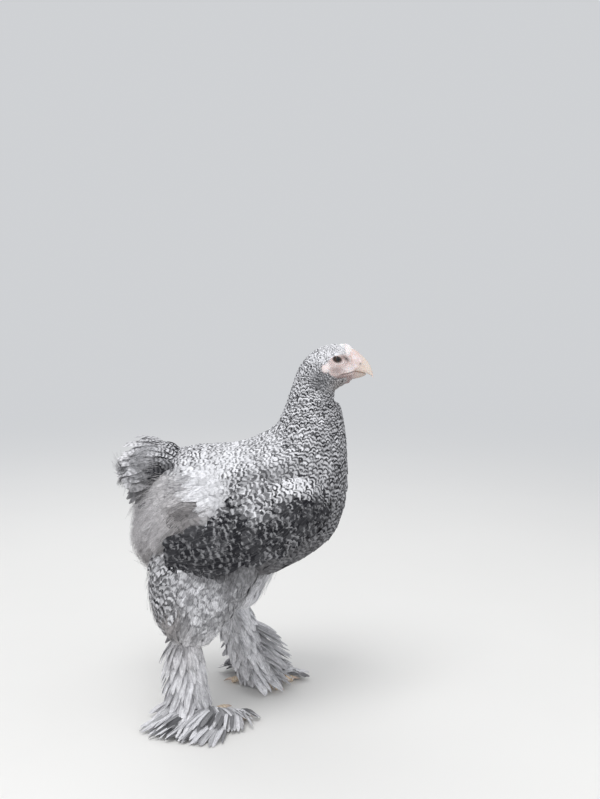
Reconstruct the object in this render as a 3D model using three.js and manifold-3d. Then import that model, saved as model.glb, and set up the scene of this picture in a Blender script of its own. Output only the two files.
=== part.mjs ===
// A young barred brahma hen, life size, standing with one leg ahead of the other.
// Millimetres. +X is the way the bird faces, +Y its left side, +Z up. The feet stand on z = 0.
import * as THREE from "three";
import { mergeVertices } from "three/addons/utils/BufferGeometryUtils.js";
import Module from "manifold-3d";

const wasm = await Module();
wasm.setup();

const GAP = 0.32; // between two touching pieces
const V3 = (x, y, z) => new THREE.Vector3(x, y, z);
const RIGHT = -1;
const LEFT = 1;

// Trunk and neck. Each station runs from a dorsal to a ventral point of the side view:
// dorsal x, z, ventral x, z, half width, level of the widest point from dorsal (0) to ventral (1).
const TRUNK = [
  [-112, 302, -132, 244, 30, 0.5],
  [-100, 318, -131, 210, 52, 0.52],
  [-80, 328, -112, 186, 68, 0.54],
  [-50, 332, -66, 178, 82, 0.52],
  [-18, 333, -18, 175, 89, 0.48],
  [2, 337, 20, 171, 90, 0.46],
  [15, 342, 52, 182, 88, 0.45],
  [25, 347, 82, 199, 84, 0.45],
  [32, 352, 106, 221, 79, 0.46],
  [37, 357, 119, 251, 72, 0.48],
  [41, 363, 124, 286, 63, 0.5],
  [44, 370, 123.5, 318, 53, 0.5],
  [47, 377, 122, 344, 43, 0.5],
  [50, 385, 119, 365, 36, 0.5],
  [53, 394, 114, 381, 30.5, 0.5],
  [57, 404, 108, 392, 26.5, 0.5],
  [61, 416, 108, 401, 24, 0.5],
];
// Head, in the same form, from the top of the neck to the root of the bill.
const HEAD = [
  [55, 398, 107, 386, 27, 0.5],
  [59, 410, 107, 397, 25, 0.5],
  [63, 421, 109, 401.5, 23.5, 0.5],
  [69, 432.5, 112, 404, 22.5, 0.5],
  [78, 443, 116, 406, 21.8, 0.52],
  [90, 451, 120, 408, 20.6, 0.55],
  [102, 455, 124, 410, 19, 0.58],
  [113, 455.3, 127.5, 412, 16.6, 0.6],
  [123, 453.5, 130.5, 414, 13.6, 0.6],
  [131, 449, 132, 416.5, 9.8, 0.6],
];
// Upper and lower bill: x, top z, bottom z, half width.
const BILL_UPPER = [
  [124, 450, 425.4, 8.5],
  [131, 449.5, 423.9, 8.6],
  [138, 445, 422.6, 7.2],
  [145, 438.6, 421.2, 5.4],
  [151, 430, 418.8, 3.5],
  [154, 422, 416, 1.6],
];
const BILL_LOWER = [
  [121, 424, 413.2, 7.6],
  [128, 423.8, 413.5, 7.2],
  [135, 422.8, 414.8, 5.6],
  [142, 421, 416.6, 3.4],
];
const BILL_TIP = V3(154.6, 0, 415.6);
const BILL_LOWER_TIP = V3(146, 0, 419);

const NECK_CUT = { dorsal: [28, 348.5], ventral: [124.5, 300] };
const HEAD_CUT = { dorsal: [60, 412], ventral: [108, 399.5] };
const RUMP_CUT = { dorsal: [-58, 331], ventral: [-74, 180] };

const EYE = { x: 110.5, y: 13, z: 440, radius: 6.1 };
const LID = { y: 17.3, ring: 5.7, tube: 1.15, tilt: 0.16 };
const EAR = { x: 95, y: 20.2, z: 430, size: [5.2, 1.9, 6.2] };
const WATTLE = { x: 124, y: 5.2, z: 410, size: [5, 1.6, 5] };
const NOSTRIL = { x: 134.5, y: 7.8, z: 437, size: [3.2, 1.5, 1.4] };
const MOUTH = { back: [113, 422.4], front: [130, 423], depth: 2.2, height: 0.9 };
const COMB = { rows: 3, spread: 4.3, length: 26, start: 107, height: 3.6 };

// The wing lies on a side shell of the body. Side-view places are x, z; a height stands off the shell.
const WING_SHELL = { y: 88, x: 5, z: 256, front: 0.0024, rear: 0.0011, above: 0.0058, below: 0.0022 };
// Wing core: side-view centre x, z, half height, half thickness.
const WING_CORE = [
  [95, 288, 18, 5],
  [82, 283, 33, 9],
  [58, 274, 40, 11],
  [28, 262, 39, 9.5],
  [-2, 248, 33, 7],
  [-32, 234, 25, 5],
  [-58, 222, 16, 3.5],
];
const WING_FRONT = [100, 290];
const WING_BACK = [-66, 218];
// The hollow that the wing lies in, in the same form: it holds every feather of the wing.
const WING_BED = [
  [98, 290, 22, 12],
  [84, 284, 40, 20],
  [58, 273, 48, 26],
  [28, 261, 49, 27],
  [-2, 247, 48, 26],
  [-32, 232, 43, 23],
  [-60, 219, 37, 20],
  [-86, 208, 28, 15],
];
const BED_FRONT = [106, 291];
const BED_BACK = [-106, 198];
const WING_LEAN = 24.3; // degrees that the folded wing droops towards its tip
// Feather tiers, lowest layer first: number, root line x, z from the lower to the upper feather, droop
// in degrees, length at the lower and the upper end and its bulge between, width, and height off the
// shell at root, middle and tip.
const WING_TIERS = [
  { n: 4, from: [52, 236], to: [36, 252], droop: [17, 20], length: [146, 144, 0], wide: 22, h: [1, 2, 1] },
  { n: 5, from: [30, 241], to: [6, 294], droop: [19, 38], length: [112, 62, 30], wide: 27, h: [5, 6.4, 4] },
  { n: 5, from: [66, 244], to: [33, 302], droop: [18, 36], length: [60, 48, 6], wide: 25, h: [7, 11, 10] },
  { n: 4, from: [80, 254], to: [56, 304], droop: [16, 34], length: [42, 36, 3], wide: 26, h: [8, 13, 13] },
  { n: 3, from: [89, 270], to: [78, 303], droop: [16, 32], length: [28, 26, 2], wide: 24, h: [7, 13, 14] },
];
const LOUVRE = 1.9; // how far a wing feather's upper edge lifts over its neighbour
const FEATHER = { thick: 0.85, root: 0.42 };

// Tail: a short fan over a soft core. Core stations: x, z of the middle, half width, half height.
const TAIL_CORE = [
  [-80, 306, 28, 20],
  [-100, 307, 36, 25],
  [-118, 304, 38, 26],
  [-132, 299, 31, 19],
];
const TAIL_END = [-139, 297];
const TAIL_ROOT = [-92, 308];
// The hollow that the tail's feathers lie in, in the same form as the core.
const TAIL_BED = [
  [-84, 306, 32, 27],
  [-102, 304, 50, 36],
  [-126, 300, 58, 44],
  [-146, 300, 56, 38],
];
const TAIL_BED_END = [-164, 300];
// Tail tiers, topmost last: number, half spread in degrees, length, rise, curl back down, width and the
// height of their roots.
const TAIL_TIERS = [
  { n: 6, spread: 42, length: 65, rise: 8, curl: 12, width: 23, height: -2 },
  { n: 6, spread: 40, length: 60, rise: 22, curl: 13, width: 23, height: 5 },
  { n: 5, spread: 34, length: 48, rise: 32, curl: 17, width: 22, height: 11 },
  { n: 4, spread: 26, length: 34, rise: 28, curl: 14, width: 20, height: 16 },
];
const UNDER_TAIL = [
  { n: 5, spread: 46, height: -6, length: 52, drop: 26, width: 22 },
  { n: 4, spread: 34, height: -16, length: 42, drop: 42, width: 22 },
];

// Soft tufts behind the legs, on the rump: station of the trunk, angle from the back, number, length.
const RUMP_TIERS = [
  { at: 0.1, from: 96, to: 190, n: 2, length: 38 },
  { at: 0.9, from: 94, to: 184, n: 3, length: 42 },
  { at: 1.8, from: 104, to: 182, n: 3, length: 40 },
  { at: 2.6, from: 132, to: 182, n: 2, length: 34 },
];
const RUMP_TUFT = { width: 31, sunk: 8, lift: 0.34, thick: 2 };

// Legs. Joint places are x, y (outward from the middle), z.
const LEGS = {
  right: {
    side: RIGHT,
    hip: [-26, 44, 226],
    hock: [-76, 58, 112],
    ankle: [-56, 57, 15],
    yaw: -6,
    boot: [104, 200],
    bootDrop: 0.8,
    bootLength: 52,
    fan: [156, 92],
    fanLength: 68,
    seed: 11,
  },
  left: {
    side: LEFT,
    hip: [-6, 44, 226],
    hock: [-26, 58, 112],
    ankle: [2, 60, 15],
    yaw: 6,
    boot: [-8, 128],
    bootDrop: 0.5,
    bootLength: 60,
    fan: [120, 44],
    fanLength: 62,
    seed: 23,
  },
};
// Thigh: share of the way from hip to hock, sideways bulge outward, radius along the body, radius across.
const THIGH = [
  [-0.12, 0, 46, 26],
  [0.12, 0, 58, 31],
  [0.36, 2, 60, 38],
  [0.58, 4, 55, 40],
  [0.78, 4, 45, 35],
  [0.96, 2, 31, 26],
];
const THIGH_BACK = 9; // the feathered thigh hangs this far behind the line from hip to hock
const HOCK_TIERS = [
  { at: 0.34, from: 60, to: 210, n: 4, length: 42, width: 25 },
  { at: 0.6, from: 40, to: 250, n: 5, length: 40, width: 25 },
  { at: 0.84, from: 20, to: 290, n: 6, length: 30, width: 21 },
];
const SHANK = [
  [-0.1, 15, 14],
  [0.15, 15, 14],
  [0.4, 13.5, 12.5],
  [0.65, 12, 11],
  [0.88, 11, 10.5],
  [1.02, 9.5, 9.5],
];
const BOOT_TIERS = [0.3, 0.57, 0.84];
const BOOT_COUNT = 3;
const BOOT_WIDTH = 27;
const FOOT_TILT = 0.17; // how a foot feather lifts one edge over its neighbour
// The hollow around the feathered thigh stands this far off it, and the shank's top ends at it.
const THIGH_BED = 4;
// Toes: yaw from the middle toe (outward is positive), length, radius at root and tip. The bare toes
// are pieces of their own from a little way out of the foot; the others carry the foot's feathers.
const TOES = [
  { name: "inner", turn: -40, length: 42, root: 5.4, tip: 3.9, bare: true },
  { name: "middle", turn: 0, length: 54, root: 5.9, tip: 4.1, bare: false },
  { name: "outer", turn: 34, length: 44, root: 5.4, tip: 3.9, bare: false },
  { name: "hind", turn: 172, length: 26, root: 4.8, tip: 3.6, bare: true },
];
const TOE_JOINT = 12; // where a bare toe meets the foot, from the ankle
const TOE_SOLE = 3.6; // the toes' axes lie this high, so each has a flat sole on the floor
const CLAW = { length: 13.5, radius: 2.6, sunk: 2.6, hook: 2.6 };

const skin = new THREE.MeshStandardMaterial({ color: 0xd9b3a8, roughness: 0.7 });
const plumage = new THREE.MeshStandardMaterial({ color: 0x9c9ca0, roughness: 0.9 });
const fluff = new THREE.MeshStandardMaterial({ color: 0xb9b5b0, roughness: 1 });
const horn = new THREE.MeshStandardMaterial({ color: 0xe3c3a4, roughness: 0.45 });
const eyeball = new THREE.MeshStandardMaterial({ color: 0x4a2a18, roughness: 0.1 });
const scale = new THREE.MeshStandardMaterial({ color: 0xcdb887, roughness: 0.6 });

const radians = (degrees) => (degrees * Math.PI) / 180;
const mix = (a, b, t) => a + (b - a) * t;
const mixAll = (a, b, t) => a.map((x, i) => mix(x, b[i], t));

// Numbers from -1 to 1 that come out the same on every run.
function seeded(seed) {
  let state = seed * 2654435761;
  return () => {
    state = (state * 1664525 + 1013904223) % 4294967296;
    return (state / 4294967296) * 2 - 1;
  };
}

function solidOf(geometry) {
  const bare = geometry.index ? geometry.toNonIndexed() : geometry.clone();
  bare.deleteAttribute("normal");
  bare.deleteAttribute("uv");
  const merged = mergeVertices(bare, 1e-3);
  const made = new wasm.Manifold(
    new wasm.Mesh({
      numProp: 3,
      vertProperties: merged.attributes.position.array,
      triVerts: new Uint32Array(merged.index.array),
    }),
  );
  if (made.volume() < 0) throw new Error("a piece is inside out");
  return made;
}

const fuse = (geometries) => wasm.Manifold.union(geometries.map(solidOf));

// The largest closed surface of a solid, so that loose scraps and sealed hollows go.
function largest(solid) {
  const bodies = solid.decompose();
  return bodies.reduce((best, body) => (body.volume() > best.volume() ? body : best));
}

function geometryOf(solid) {
  const { numVert, numProp, vertProperties, triVerts } = solid.getMesh();
  const positions = new Float32Array(numVert * 3);
  for (let i = 0; i < numVert; i++)
    positions.set(vertProperties.subarray(i * numProp, i * numProp + 3), i * 3);
  const geometry = new THREE.BufferGeometry();
  geometry.setAttribute("position", new THREE.BufferAttribute(positions, 3));
  geometry.setIndex(new THREE.BufferAttribute(triVerts.slice(), 1));
  return geometry;
}

// Rounding a solid to a mesh can part it where it hangs by an edge, so its largest body is taken again.
function meshOf(name, solid, material) {
  const rounded = largest(solidOf(geometryOf(largest(solid))));
  const mesh = new THREE.Mesh(geometryOf(rounded), material);
  mesh.name = name;
  return mesh;
}

// A closed surface through rings of equal size, with a pole at each end.
function loft(rings, startPole, endPole) {
  const n = rings[0].length;
  const points = [startPole, ...rings.flat(), endPole];
  const last = points.length - 1;
  const faces = [];
  for (let i = 0; i < n; i++) {
    const j = (i + 1) % n;
    faces.push(0, 1 + j, 1 + i);
    faces.push(last, 1 + (rings.length - 1) * n + i, 1 + (rings.length - 1) * n + j);
    for (let k = 0; k < rings.length - 1; k++) {
      const a = 1 + k * n;
      faces.push(a + i, a + j, a + n + j, a + i, a + n + j, a + n + i);
    }
  }
  const geometry = new THREE.BufferGeometry().setFromPoints(points);
  geometry.setIndex(faces);
  return facingOut(geometry, centreOf(points));
}

const centreOf = (points) => points.reduce((sum, p) => sum.add(p), V3(0, 0, 0)).divideScalar(points.length);

// Turns a closed surface's faces outwards, by the sign of its volume.
function facingOut(geometry, centre) {
  const p = geometry.attributes.position;
  const index = geometry.index.array;
  const at = (i) => V3(p.getX(index[i]), p.getY(index[i]), p.getZ(index[i])).sub(centre);
  let volume = 0;
  for (let i = 0; i < index.length; i += 3) volume += at(i).dot(at(i + 1).cross(at(i + 2)));
  if (volume < 0)
    for (let i = 0; i < index.length; i += 3) [index[i + 1], index[i + 2]] = [index[i + 2], index[i + 1]];
  return geometry;
}

// A thin closed strip through four-cornered sections, split into triangles alike on both faces.
function strip(sections) {
  const faces = [];
  sections.slice(1).forEach((_, k) => {
    const [a, b] = [k * 4, k * 4 + 4];
    faces.push(a, a + 1, b + 1, a, b + 1, b);
    faces.push(a + 3, b + 2, a + 2, a + 3, b + 3, b + 2);
    faces.push(a + 1, a + 2, b + 2, a + 1, b + 2, b + 1);
    faces.push(a, b, b + 3, a, b + 3, a + 3);
  });
  const e = (sections.length - 1) * 4;
  faces.push(0, 2, 1, 0, 3, 2, e, e + 1, e + 2, e, e + 2, e + 3);
  const points = sections.flat();
  const geometry = new THREE.BufferGeometry().setFromPoints(points);
  geometry.setIndex(faces);
  return facingOut(geometry, centreOf(points));
}

const FEATHER_STEPS = [0, 0.4, 0.78, 1];
const TUFT_STEPS = [0, 0.5, 1];

// Shares of the full width along a vane: a feather with a round end, and a lock that tapers to a point.
function featherWidth(s, root) {
  if (s < 0.45) return mix(root, 1, Math.sin((s / 0.45) * (Math.PI / 2)));
  return Math.sqrt(1.03 - ((s - 0.45) / 0.56) ** 2);
}

function lockWidth(s, root) {
  return s < 0.35 ? mix(root, 1, s / 0.35) : mix(1, 0.12, (s - 0.35) / 0.65);
}

const VANE = { thick: 0.9, shape: featherWidth, steps: FEATHER_STEPS, grow: 0, root: 0.5 };

// A feather or lock along a quadratic curve; side is the way its width runs.
function plume(start, bend, end, side, width, style) {
  const { thick, shape, steps, grow, root } = { ...VANE, ...style };
  const curve = new THREE.QuadraticBezierCurve3(start, bend, end);
  const sections = steps.map((s, i) => {
    const stretch = i === steps.length - 1 ? grow : 0;
    const tangent = curve.getTangent(s);
    const centre = curve.getPoint(s).addScaledVector(tangent, stretch);
    const across = side.clone().addScaledVector(tangent, -side.dot(tangent)).normalize();
    const up = tangent.clone().cross(across).normalize();
    const w = (width * shape(s, root)) / 2 + grow;
    const t = (thick * (s > 0.9 ? 0.7 : 1)) / 2 + grow;
    return [
      [-w, t],
      [w, t],
      [w, -t],
      [-w, -t],
    ].map(([a, b]) => centre.clone().addScaledVector(across, a).addScaledVector(up, b));
  });
  return strip(sections);
}

// One point of a station's ring: the angle runs from the dorsal point round the left side.
function ringPoint([dx, dz, vx, vz, w, level], angle, grow = 0) {
  const way = V3(vx - dx, 0, vz - dz).normalize();
  const t = ((1 - Math.cos(angle)) / 2) ** (Math.log(level) / Math.log(0.5));
  const swell = grow * (2 * t - 1);
  return V3(mix(dx, vx, t), Math.sin(angle) * (w + grow), mix(dz, vz, t)).addScaledVector(way, swell);
}

const stationAt = (table, t) => {
  const i = Math.min(Math.floor(t), table.length - 2);
  return mixAll(table[i], table[i + 1], t - i);
};

function stationLoft(table, sides, grow = 0) {
  const rings = table.map((station) =>
    Array.from({ length: sides }, (_, i) => ringPoint(station, (i / sides) * 2 * Math.PI, grow)),
  );
  const middle = ([dx, dz, vx, vz]) => V3((dx + vx) / 2, 0, (dz + vz) / 2);
  const pole = (end, inner, out) => {
    const way = middle(end).sub(middle(inner)).normalize();
    return middle(end).addScaledVector(way, out + grow);
  };
  const last = table.length - 1;
  return loft(rings, pole(table[0], table[1], 8), pole(table[last], table[last - 1], 2));
}

// Cuts a solid along the line between a dorsal and a ventral point of the side view.
function cut(solid, { dorsal, ventral }, keepUpper) {
  const gap = GAP / 2;
  const normal = V3(-(ventral[1] - dorsal[1]), 0, ventral[0] - dorsal[0]).normalize();
  const offset = normal.dot(V3(dorsal[0], 0, dorsal[1]));
  if (keepUpper) return solid.trimByPlane(normal.toArray(), offset + gap);
  return solid.trimByPlane(normal.negate().toArray(), -offset + gap);
}

const TRUNK_SIDES = 24;
const trunkSolid = (grow) => solidOf(stationLoft(TRUNK, TRUNK_SIDES, grow));
const trunkGrown = trunkSolid(GAP);

const ellipsoid = ([x, y, z], [a, b, c], across = 8, up = 6) =>
  new THREE.SphereGeometry(1, across, up).scale(a, b, c).translate(x, y, z);

// Head

function billHalf(table, tip, grow = 0) {
  const sides = 10;
  const rings = table.map(([x, top, bottom, w]) =>
    Array.from({ length: sides }, (_, i) => {
      const angle = (i / sides) * 2 * Math.PI;
      const high = (top - bottom) / 2 + grow;
      return V3(x, Math.sin(angle) * (w + grow), (top + bottom) / 2 + Math.cos(angle) * high);
    }),
  );
  const [x, top, bottom] = table[0];
  return loft(rings, V3(x - 1.5 - grow, 0, (top + bottom) / 2), tip.clone().add(V3(grow, 0, 0)));
}

function combRow(row) {
  const offset = (row - 1) * COMB.spread;
  const high = COMB.height * (row === 1 ? 1 : 0.62);
  const steps = 7;
  const sides = 5;
  const rings = Array.from({ length: steps }, (_, k) => {
    const s = k / (steps - 1);
    const x = COMB.start + COMB.length * s * (row === 1 ? 1 : 0.86) + 2;
    const crown = 455.8 - 0.011 * Math.max(0, x - 108) ** 2 - Math.abs(offset) * 0.42;
    const bump = (0.55 + 0.45 * Math.abs(Math.cos(s * Math.PI * 4))) * Math.sin(mix(0.25, 2.9, s));
    return Array.from({ length: sides }, (_, i) => {
      const angle = (i / sides) * 2 * Math.PI;
      const y = offset + Math.sin(angle) * (1.2 + 0.9 * bump);
      return V3(x, y, crown - 1 + Math.cos(angle) * high * bump);
    });
  });
  const [front, back] = [rings[steps - 1], rings[0]].map(centreOf);
  return loft(rings, back.add(V3(-1, 0, 0)), front.add(V3(1, 0, -0.5)));
}

function lid(side) {
  const ring = new THREE.TorusGeometry(LID.ring, LID.tube, 4, 11).scale(1.12, 0.92, 1);
  ring.rotateX(Math.PI / 2).rotateZ(-side * LID.tilt);
  return ring.translate(EYE.x, side * LID.y, EYE.z);
}

function mouthGroove(side) {
  const [back, front] = [MOUTH.back, MOUTH.front];
  const sizes = [22, MOUTH.depth * 4, MOUTH.height];
  const lean = Math.atan2(back[1] - front[1], front[0] - back[0]);
  const groove = new THREE.BoxGeometry(...sizes).rotateY(lean).rotateZ(-side * 0.42);
  return groove.translate((back[0] + front[0]) / 2, side * 17.2, (back[1] + front[1]) / 2);
}

function headSolid() {
  const pieces = [stationLoft(HEAD, 22)];
  for (const side of [RIGHT, LEFT]) {
    pieces.push(lid(side));
    pieces.push(ellipsoid([EAR.x, side * EAR.y, EAR.z], EAR.size));
    pieces.push(ellipsoid([WATTLE.x, side * WATTLE.y, WATTLE.z], WATTLE.size));
  }
  for (let row = 0; row < COMB.rows; row++) pieces.push(combRow(row));
  let head = cut(fuse(pieces), HEAD_CUT, true);
  head = head.subtract(solidOf(billHalf(BILL_UPPER, BILL_TIP, GAP)));
  head = head.subtract(solidOf(billHalf(BILL_LOWER, BILL_LOWER_TIP, GAP)));
  for (const side of [RIGHT, LEFT]) {
    head = head.subtract(eyeSolid(side, GAP));
    head = head.subtract(solidOf(mouthGroove(side)));
  }
  return head;
}

function upperBill() {
  const lower = solidOf(billHalf(BILL_LOWER, BILL_LOWER_TIP, GAP));
  let bill = solidOf(billHalf(BILL_UPPER, BILL_TIP)).subtract(lower);
  for (const side of [RIGHT, LEFT])
    bill = bill.subtract(solidOf(ellipsoid([NOSTRIL.x, side * NOSTRIL.y, NOSTRIL.z], NOSTRIL.size, 8, 5)));
  return bill;
}

function eyeSolid(side, grow = 0) {
  const ball = new THREE.SphereGeometry(EYE.radius + grow, 12, 8);
  return solidOf(ball.translate(EYE.x, side * EYE.y, EYE.z));
}

// Wings

function onShell(side, x, z, height) {
  const bend = x > WING_SHELL.x ? WING_SHELL.front : WING_SHELL.rear;
  const curl = z > WING_SHELL.z ? WING_SHELL.above : WING_SHELL.below;
  const y = WING_SHELL.y - bend * (x - WING_SHELL.x) ** 2 - curl * (z - WING_SHELL.z) ** 2;
  return V3(x, side * (y + height), z);
}

function wingForm(side, table, front, back, grow = 0) {
  const sides = 12;
  const lean = radians(WING_LEAN);
  const rings = table.map(([x, z, high, thick]) =>
    Array.from({ length: sides }, (_, i) => {
      const angle = (i / sides) * 2 * Math.PI;
      const q = Math.cos(angle) * (high + grow);
      const height = Math.sin(angle) * (thick + grow);
      return onShell(side, x - Math.sin(lean) * q, z + Math.cos(lean) * q, height);
    }),
  );
  return loft(rings, onShell(side, ...front, 0), onShell(side, ...back, 0));
}

function wingFeather(side, tier, i, wobble) {
  const t = tier.n > 1 ? i / (tier.n - 1) : 0;
  const [x, z] = mixAll(tier.from, tier.to, t);
  const droop = radians(mix(tier.droop[0], tier.droop[1], t) + wobble() * 0.35);
  const [first, last, bulge] = tier.length;
  const length = mix(first, last, t) + bulge * 4 * t * (1 - t) + wobble() * 2;
  const [dx, dz] = [-Math.cos(droop), -Math.sin(droop)];
  const [root, middle, tip] = tier.h;
  const sections = FEATHER_STEPS.map((s) => {
    const half = (tier.wide * featherWidth(s, FEATHER.root)) / 2;
    const height = mix(root, tip, s) + (middle - (root + tip) / 2) * 4 * s * (1 - s);
    const corner = (q, up) => {
      const lift = (q / tier.wide) * 2 * LOUVRE;
      return onShell(side, x + dx * length * s + dz * q, z + dz * length * s - dx * q, height + up + lift);
    };
    const up = FEATHER.thick / 2;
    return [corner(-half, up), corner(half, up), corner(half, -up), corner(-half, -up)];
  });
  return strip(sections);
}

function wingSolid(side) {
  const wobble = seeded(5);
  const pieces = [wingForm(side, WING_CORE, WING_FRONT, WING_BACK)];
  for (const tier of WING_TIERS)
    for (let i = 0; i < tier.n; i++) pieces.push(wingFeather(side, tier, i, wobble));
  return fuse(pieces).subtract(trunkGrown);
}

const wingBed = (side) => solidOf(wingForm(side, WING_BED, BED_FRONT, BED_BACK, GAP));

// Tail

function tailForm(table, end) {
  const sides = 14;
  const rings = table.map(([x, z, wide, high]) =>
    Array.from({ length: sides }, (_, i) => {
      const angle = (i / sides) * 2 * Math.PI;
      return V3(x, Math.sin(angle) * wide, z + Math.cos(angle) * high);
    }),
  );
  return loft(rings, V3(table[0][0] + 4, 0, table[0][1]), V3(end[0], 0, end[1]));
}

// One tail feather; share runs from -1 on the right to 1 on the left.
function tailFeather(tier, share, wobble, style) {
  const { spread, length, rise = 0, curl = 0, drop = 0, width, height } = tier;
  const yaw = radians(share * spread + wobble() * 2);
  const fall = Math.abs(share) ** 1.5;
  const reach = length * (1 - 0.1 * fall) + wobble() * 2;
  const out = V3(-Math.cos(yaw), Math.sin(yaw), 0);
  const side = V3(Math.sin(yaw), Math.cos(yaw), -share * 0.6);
  const start = V3(TAIL_ROOT[0], Math.sin(yaw) * 14, TAIL_ROOT[1] + height - 8 * fall);
  const bend = start.clone().addScaledVector(out, reach * 0.55);
  bend.z += rise * (1 - 0.45 * fall) * 0.9;
  const end = start.clone().addScaledVector(out, reach);
  end.z += (rise - curl) * (1 - 0.75 * fall) - 9 * fall - drop;
  return plume(start, bend, end, side, width, style);
}

function tailSolid() {
  const wobble = seeded(3);
  const share = (tier, i) => (2 * i) / (tier.n - 1) - 1;
  const pieces = [tailForm(TAIL_CORE, TAIL_END)];
  for (const tier of TAIL_TIERS)
    for (let i = 0; i < tier.n; i++) pieces.push(tailFeather(tier, share(tier, i), wobble, { thick: 1 }));
  for (const tier of UNDER_TAIL)
    for (let i = 0; i < tier.n; i++)
      pieces.push(tailFeather(tier, share(tier, i), wobble, { thick: 1.6, shape: lockWidth }));
  return fuse(pieces).subtract(trunkGrown);
}

const tailBed = () => solidOf(tailForm(TAIL_BED, TAIL_BED_END));

// Rump, with its soft tufts

function rumpTuft(station, angle, length) {
  const root = ringPoint(station, angle, -RUMP_TUFT.sunk);
  const skinPoint = ringPoint(station, angle, 0);
  const normal = ringPoint(station, angle, 1).sub(skinPoint).add(V3(-0.5, 0, 0)).normalize();
  const way = V3(-0.35, 0, -1);
  way.addScaledVector(normal, -way.dot(normal)).normalize();
  way.addScaledVector(normal, RUMP_TUFT.lift).normalize();
  const bend = root.clone().addScaledVector(way, length * 0.5).addScaledVector(normal, 5);
  const end = root.clone().addScaledVector(way, length);
  const across = way.clone().cross(normal).normalize();
  const style = { shape: lockWidth, thick: RUMP_TUFT.thick, root: 0.7, steps: TUFT_STEPS };
  return plume(root, bend, end, across, RUMP_TUFT.width, style);
}

function rumpSolid() {
  const wobble = seeded(7);
  const pieces = [];
  for (const tier of RUMP_TIERS) {
    const station = stationAt(TRUNK, tier.at);
    for (const side of [RIGHT, LEFT])
      for (let i = 0; i < tier.n; i++) {
        const angle = side * radians(mix(tier.from, tier.to, i / tier.n) + wobble() * 3);
        pieces.push(rumpTuft(station, angle, tier.length + RUMP_TUFT.sunk + wobble() * 4));
      }
  }
  const whole = cut(trunkSolid(0), RUMP_CUT, false);
  return cut(wasm.Manifold.union([whole, ...pieces.map(solidOf)]), RUMP_CUT, false);
}

// Legs

function legFrame(leg) {
  const at = ([x, y, z]) => V3(x, leg.side * y, z);
  return { hip: at(leg.hip), hock: at(leg.hock), ankle: at(leg.ankle) };
}

// A point on the feathered thigh: angle 0 looks forward, 90 outward, 180 backward.
function thighPoint(leg, [share, bulge, along, across], angle, grow = 0) {
  const { hip, hock } = legFrame(leg);
  const axis = hock.clone().sub(hip).normalize();
  const forward = V3(1, 0, 0).addScaledVector(axis, -axis.x).normalize();
  const outward = V3(0, leg.side, 0);
  const centre = hip.clone().lerp(hock, share).addScaledVector(outward, bulge);
  centre.addScaledVector(forward, -THIGH_BACK * Math.sin(Math.PI * Math.min(Math.max(share, 0), 1)));
  return centre
    .addScaledVector(forward, Math.cos(angle) * (along + grow))
    .addScaledVector(outward, Math.sin(angle) * (across + grow));
}

function thighCore(leg, grow) {
  const sides = 20;
  const rings = THIGH.map((station) =>
    Array.from({ length: sides }, (_, i) => thighPoint(leg, station, (i / sides) * 2 * Math.PI, grow)),
  );
  const { hip, hock } = legFrame(leg);
  const axis = hock.clone().sub(hip);
  const low = hock.clone().addScaledVector(axis, 0.08 + grow / axis.length());
  return loft(rings, hip.clone().addScaledVector(axis, -0.2), low);
}

const thighStation = (share) => {
  const i = THIGH.findIndex((station) => station[0] > share);
  const [a, b] = [THIGH[i - 1], THIGH[i]];
  return mixAll(a, b, (share - a[0]) / (b[0] - a[0]));
};

function thighPieces(leg, grow = 0) {
  const wobble = seeded(leg.seed);
  const pieces = [thighCore(leg, grow)];
  for (const tier of HOCK_TIERS)
    for (let i = 0; i < tier.n; i++) {
      const angle = radians(mix(tier.from, tier.to, i / (tier.n - 1)) + wobble() * 4);
      const station = thighStation(tier.at);
      const root = thighPoint(leg, station, angle, -6);
      const normal = thighPoint(leg, station, angle, 1).sub(thighPoint(leg, station, angle, 0)).normalize();
      const way = V3(-0.3, 0, -0.95).addScaledVector(normal, 0.12).normalize();
      const length = tier.length + wobble() * 4;
      const bend = root.clone().addScaledVector(way, length * 0.5).addScaledVector(normal, 7);
      const end = root.clone().addScaledVector(way, length);
      const across = way.clone().cross(normal).normalize();
      const style = { thick: 1.2, shape: lockWidth, steps: TUFT_STEPS, grow };
      pieces.push(plume(root, bend, end, across, tier.width, style));
    }
  return pieces;
}

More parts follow.
